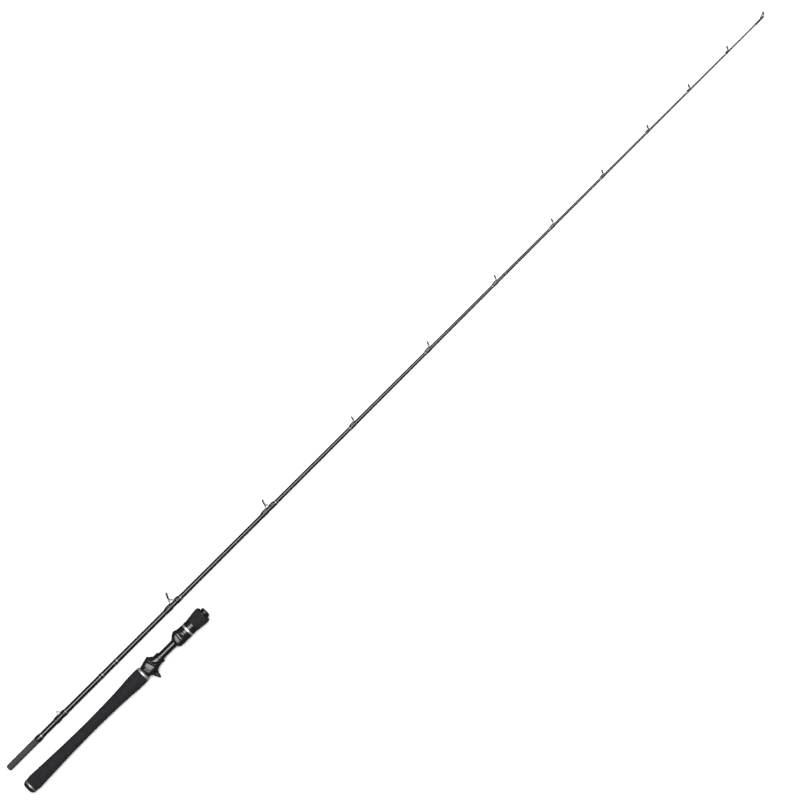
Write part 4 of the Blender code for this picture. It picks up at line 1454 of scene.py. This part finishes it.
    def guide(self, guide: Guide) -> None:
        """One line guide, bent from strip as the real one is.

        The strip's path leaves the foot's tip, spreads to the foot's edge, bends up into the
        leaning plane, runs straight until it is tangent to the ring, goes round it, and comes
        back down the other side in mirror image.

        Args:
            guide: the guide.
        """
        lean = guide.lean
        up, out = leaning(lean)
        blank = float(self.radius_at(guide.base))
        foot_thick = 0.5 + 0.013 * guide.ring_radius  # half the strip's thickness, more on a larger guide
        half_wide = 0.48 if guide.front_reach is None else 0.58  # half the strip's width
        foot_y = blank + foot_thick
        base = np.array([guide.base, foot_y, 0.0])
        height = (guide.ring_height - foot_y) / math.cos(lean)
        centre = base + up * height
        loop_radius = guide.ring_radius - half_wide
        spread = guide.foot_half * 0.75
        corner = math.pi - math.atan2(spread, height)
        tangent = corner - math.acos(min(loop_radius / math.hypot(height, spread), 1.0))
        turns = np.linspace(tangent, 0.0, 9)[:-1]
        ring = np.stack([loop_radius * np.cos(turns), loop_radius * np.sin(turns)], axis=-1)
        leg = (ring[0] + (-height, spread)) / 2.0
        plane = np.concatenate([[(-height + 0.9, spread)], [leg], ring])
        raised = centre + plane[:, :1] * up + plane[:, 1:] * ACROSS
        back = guide.base - 0.6 - guide.wrap_length * 0.62
        toe, instep = (back + 1.6, foot_y, spread * 0.7), ((back + guide.base) / 2.0, foot_y, spread)
        half = np.concatenate([[toe, instep, (guide.base - 0.9, foot_y, spread)], raised])
        mirror = half[::-1] * (1.0, 1.0, -1.0)
        top = (centre + up * loop_radius)[None]
        tip = np.array([[back, foot_y, 0.0]])
        path = smooth_path(np.concatenate([tip, half, top, mirror]), 5, closed=True)
        name = f"guide_frame_{guide.number}"
        frame_mesh = self.section.skin(f"{name}_strip", swept(path, foot_thick, half_wide, out, True))
        if guide.front_reach is not None:
            frame_mesh = union(frame_mesh, [self.front_brace(guide, plane[1], centre, up, foot_thick)])
        add_piece(f"{name}_strip", frame_mesh, GUIDE_STEEL, Body.BLANK, [name])
        radius = guide.ring_radius - 2.0 * half_wide + 0.15
        depth = 0.95 + 0.055 * guide.ring_radius
        ring_name = f"guide_ring_{guide.number}"
        self.ceramic(f"{ring_name}_ceramic", centre, lean, radius, depth, ring_name)
        self.guide_wraps(guide, 2.0 * foot_thick)

    def front_brace(
        self, guide: Guide, leg: Points, centre: Points, up: Points, foot_thick: float
    ) -> bpy.types.Mesh:
        """The front leg of a two-footed guide: a strip from one leg, down to the front foot and back.

        Args:
            guide: the guide.
            leg: where the brace leaves the leg, as height and width in the ring's plane.
            centre: the ring's middle.
            up: the direction in the ring's plane that points away from the blank.
            foot_thick: half thickness of the strip.

        Returns:
            The brace's mesh.
        """
        start = guide.base + guide.front_reach
        low = float(self.radius_at(start)) + foot_thick
        root = centre + up * leg[0] + ACROSS * leg[1]
        spread = guide.foot_half * 0.6
        half = np.array(
            [
                root,
                root + np.array([0.3, 0.0, -0.25]) * guide.front_reach,
                (start - 0.18 * guide.front_reach, low + 0.22 * (root[1] - low), spread),
                (start + 0.6, low, spread * 0.9),
                (start + 4.0, low, spread * 0.7),
            ]
        )
        tip = np.array([[start + self.front_wrap_length * 0.6, low, 0.0]])
        points = np.concatenate([half, tip, half[::-1] * (1.0, 1.0, -1.0)])
        path = smooth_path(points, 6, closed=False)
        grid = swept(path, foot_thick, 0.5, np.array([0.45, 0.9, 0.0]), False)
        return self.section.skin(f"front_brace_{guide.number}", grid, closed=False)

    def guide_wraps(self, guide: Guide, foot_top: float) -> None:
        """The thread wraps on a guide's feet, with silver threads at their far ends.

        Args:
            guide: the guide.
            foot_top: height of its feet over the blank.
        """
        end = guide.base - 0.6
        start = end - guide.wrap_length
        foot_half = guide.foot_half + 0.3
        if guide.front_reach is None:
            self.foot_wrap(f"guide_{guide.number}_wrap", start, end, foot_half, foot_top, End.FRONT)
            self.trim(f"guide_{guide.number}_trim", start - 1.0, float(self.radius_at(start)) + 0.28)
            return
        self.foot_wrap(f"guide_{guide.number}_rear_wrap", start, end, foot_half, foot_top, End.FRONT)
        front = guide.base + guide.front_reach + 0.5
        last = front + self.front_wrap_length
        self.foot_wrap(f"guide_{guide.number}_front_wrap", front, last - 1.8, foot_half, foot_top, End.REAR)
        self.trim(f"guide_{guide.number}_front_trim", last - 1.9, float(self.radius_at(last)) + 0.32)

    def tip_top(self) -> None:
        """The guide on the tip: a tube, a leaning ring holder, a neck and two braces, in one."""
        lean = math.radians(self.tip_lean_degrees)
        up, _ = leaning(lean)
        centre = np.array([self.tip_ring_at, self.tip_ring_height, 0.0])
        tube = rounded(
            (
                (1829.0, 1.1, 0.0), (1829.0, 1.72, 0.2), (1838.0, 1.7, 0.8), (1839.0, 1.0, 0.3),
                (1839.0, 0.0, 0.0), (1836.2, 0.0, 0.0), (1836.2, 1.1, 0.0),
            )
        )
        outer, inner, depth = self.tip_ring_radius, 2.35, 0.6
        wall = rounded(((-depth, outer, 0.2), (depth, outer, 0.2), (depth, inner, 0.2), (-depth, inner, 0.2)))
        middle_radius, brace_angle = 2.9, math.radians(62.0)  # where the braces meet the holder
        facing = np.array([0.0, 1.0, 0.3])
        neck = smooth_path(np.array([(1837.2, 0.8, 0.0), (1839.0, 1.0, 0.0), centre - up * 2.85]), 5, False)
        grids = {"tip_holder": leaning_ring(centre, lean, wall, 48)}
        grids["tip_neck"] = swept(neck, 0.45, 0.6, facing, False)
        for side in (-1.0, 1.0):
            turn = brace_angle * side
            top = centre + middle_radius * (up * math.cos(turn) + ACROSS * math.sin(turn))
            root = np.array([1830.4, 0.95, side * 0.95])
            middle = (root + top) / 2.0 + np.array([0.0, 0.25, 0.3 * side])
            brace = smooth_path(np.array([root, middle, top]), 6, False)
            grids[f"tip_brace_{side:.0f}"] = swept(brace, 0.52, 0.5, facing, False)
        mesh = self.section.skin("tip_top_tube", turned(tube, 32))
        parts = [self.section.skin(name, grid, name == "tip_holder") for name, grid in grids.items()]
        add_piece("tip_top_frame_wire", union(mesh, parts), GUIDE_STEEL, Body.BLANK, ["tip_top_frame"])
        self.ceramic("tip_top_ring_ceramic", centre, lean, 2.45, 1.1, "tip_top_ring")
        start, end = self.tip_wrap
        self.band("tip_wrap_threads", start, end, 0.62, "tip_wrap")
        self.trim("tip_trim", start - 0.9, float(self.radius_at(start)) + 0.28)

    def build(self) -> None:
        """Builds the section from its spigot to its tip."""
        self.tube()
        self.butt_end()
        self.keeper()
        for guide in self.guides:
            self.guide(guide)
        self.tip_top()


# ---------------------------------------------------------------- studio


@dataclass(frozen=True)
class Floor(Finish):
    """Smooth white paper: even and matte, with a faint unevenness in its tone."""

    def pattern(self, tree: bpy.types.NodeTree, place: bpy.types.NodeSocket) -> Pattern:
        """Soft clouds a few centimetres wide."""
        clouds = {"Vector": place, "Scale": per_metre(60.0)}
        return Pattern(add_node(tree, "ShaderNodeTexNoise", None, clouds).outputs["Fac"])


PAPER = Floor("white_paper", "", "#f8f8f8", "#fcfcfc", 0.9)


@dataclass
class Studio:
    """A white floor, one large soft light overhead, and the camera, which looks straight down."""

    centre: tuple[float, float] = (0.0048, -0.0012)
    camera_height: float = 6.5
    lens_mm: float = 169.4
    turn_degrees: float = -44.9  # turns the view so that the rod rises to the right
    floor_size: float = 14.0
    light_place: tuple[float, float, float] = (0.0, 0.7, 4.7)
    light_size: tuple[float, float] = (3.7, 3.1)
    light_watts: float = 385.0
    ambient: float = 0.16

    def floor(self) -> None:
        """The floor, which shows in no reflection, so that the black gloss stays black."""
        half = self.floor_size / 2.0
        corners = np.array([(-half, -half, 0.0), (half, -half, 0.0), (half, half, 0.0), (-half, half, 0.0)])
        mesh = bpy.data.meshes.new("floor")
        mesh.from_pydata(corners.tolist(), [], [(0, 1, 2, 3)])
        mesh.materials.append(PAPER.material())
        floor = bpy.data.objects.new("floor", mesh)
        bpy.context.scene.collection.objects.link(floor)
        floor.location.z = -0.0003
        floor.visible_glossy = False

    def light(self) -> None:
        """The soft light, long enough to mirror along the whole rod, and a dim grey room."""
        data = bpy.data.lights.new("softbox", "AREA")
        data.shape = "RECTANGLE"
        data.size, data.size_y = self.light_size
        data.energy = self.light_watts
        light = bpy.data.objects.new("softbox", data)
        light.location = self.light_place
        light.visible_camera = False
        bpy.context.scene.collection.objects.link(light)
        world = bpy.data.worlds.new("room")
        bpy.context.scene.world = world
        world.use_nodes = True
        world.node_tree.nodes["Background"].inputs["Color"].default_value = (1.0, 1.0, 1.0, 1.0)
        world.node_tree.nodes["Background"].inputs["Strength"].default_value = self.ambient

    def camera(self) -> None:
        """The camera, over the middle of the rod."""
        data = bpy.data.cameras.new("camera")
        data.lens = self.lens_mm
        camera = bpy.data.objects.new("camera", data)
        camera.location = (*self.centre, self.camera_height)
        camera.rotation_euler = (0.0, 0.0, math.radians(self.turn_degrees))
        bpy.context.scene.collection.objects.link(camera)
        bpy.context.scene.camera = camera

    def build(self) -> None:
        """Sets up the floor, the light and the camera."""
        bpy.context.scene.view_settings.view_transform = "Standard"
        self.camera()
        self.floor()
        self.light()


def main() -> None:
    """Builds the rod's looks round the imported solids, then the studio."""
    logging.basicConfig(level=logging.INFO, format="%(name)s %(message)s")
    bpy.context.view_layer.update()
    handle = Section.through("butt_cap", "butt_ring", "front_collar")
    blank = Section.through("spigot_end_plug", "ferrule_spigot", "tip_wrap")
    Handle(handle).build()
    ReelSeat(handle).build()
    FrontHood(handle).build()
    BlankSection(blank).build()
    Studio().build()
    bpy.context.view_layer.update()


if __name__ == "__main__":
    main()
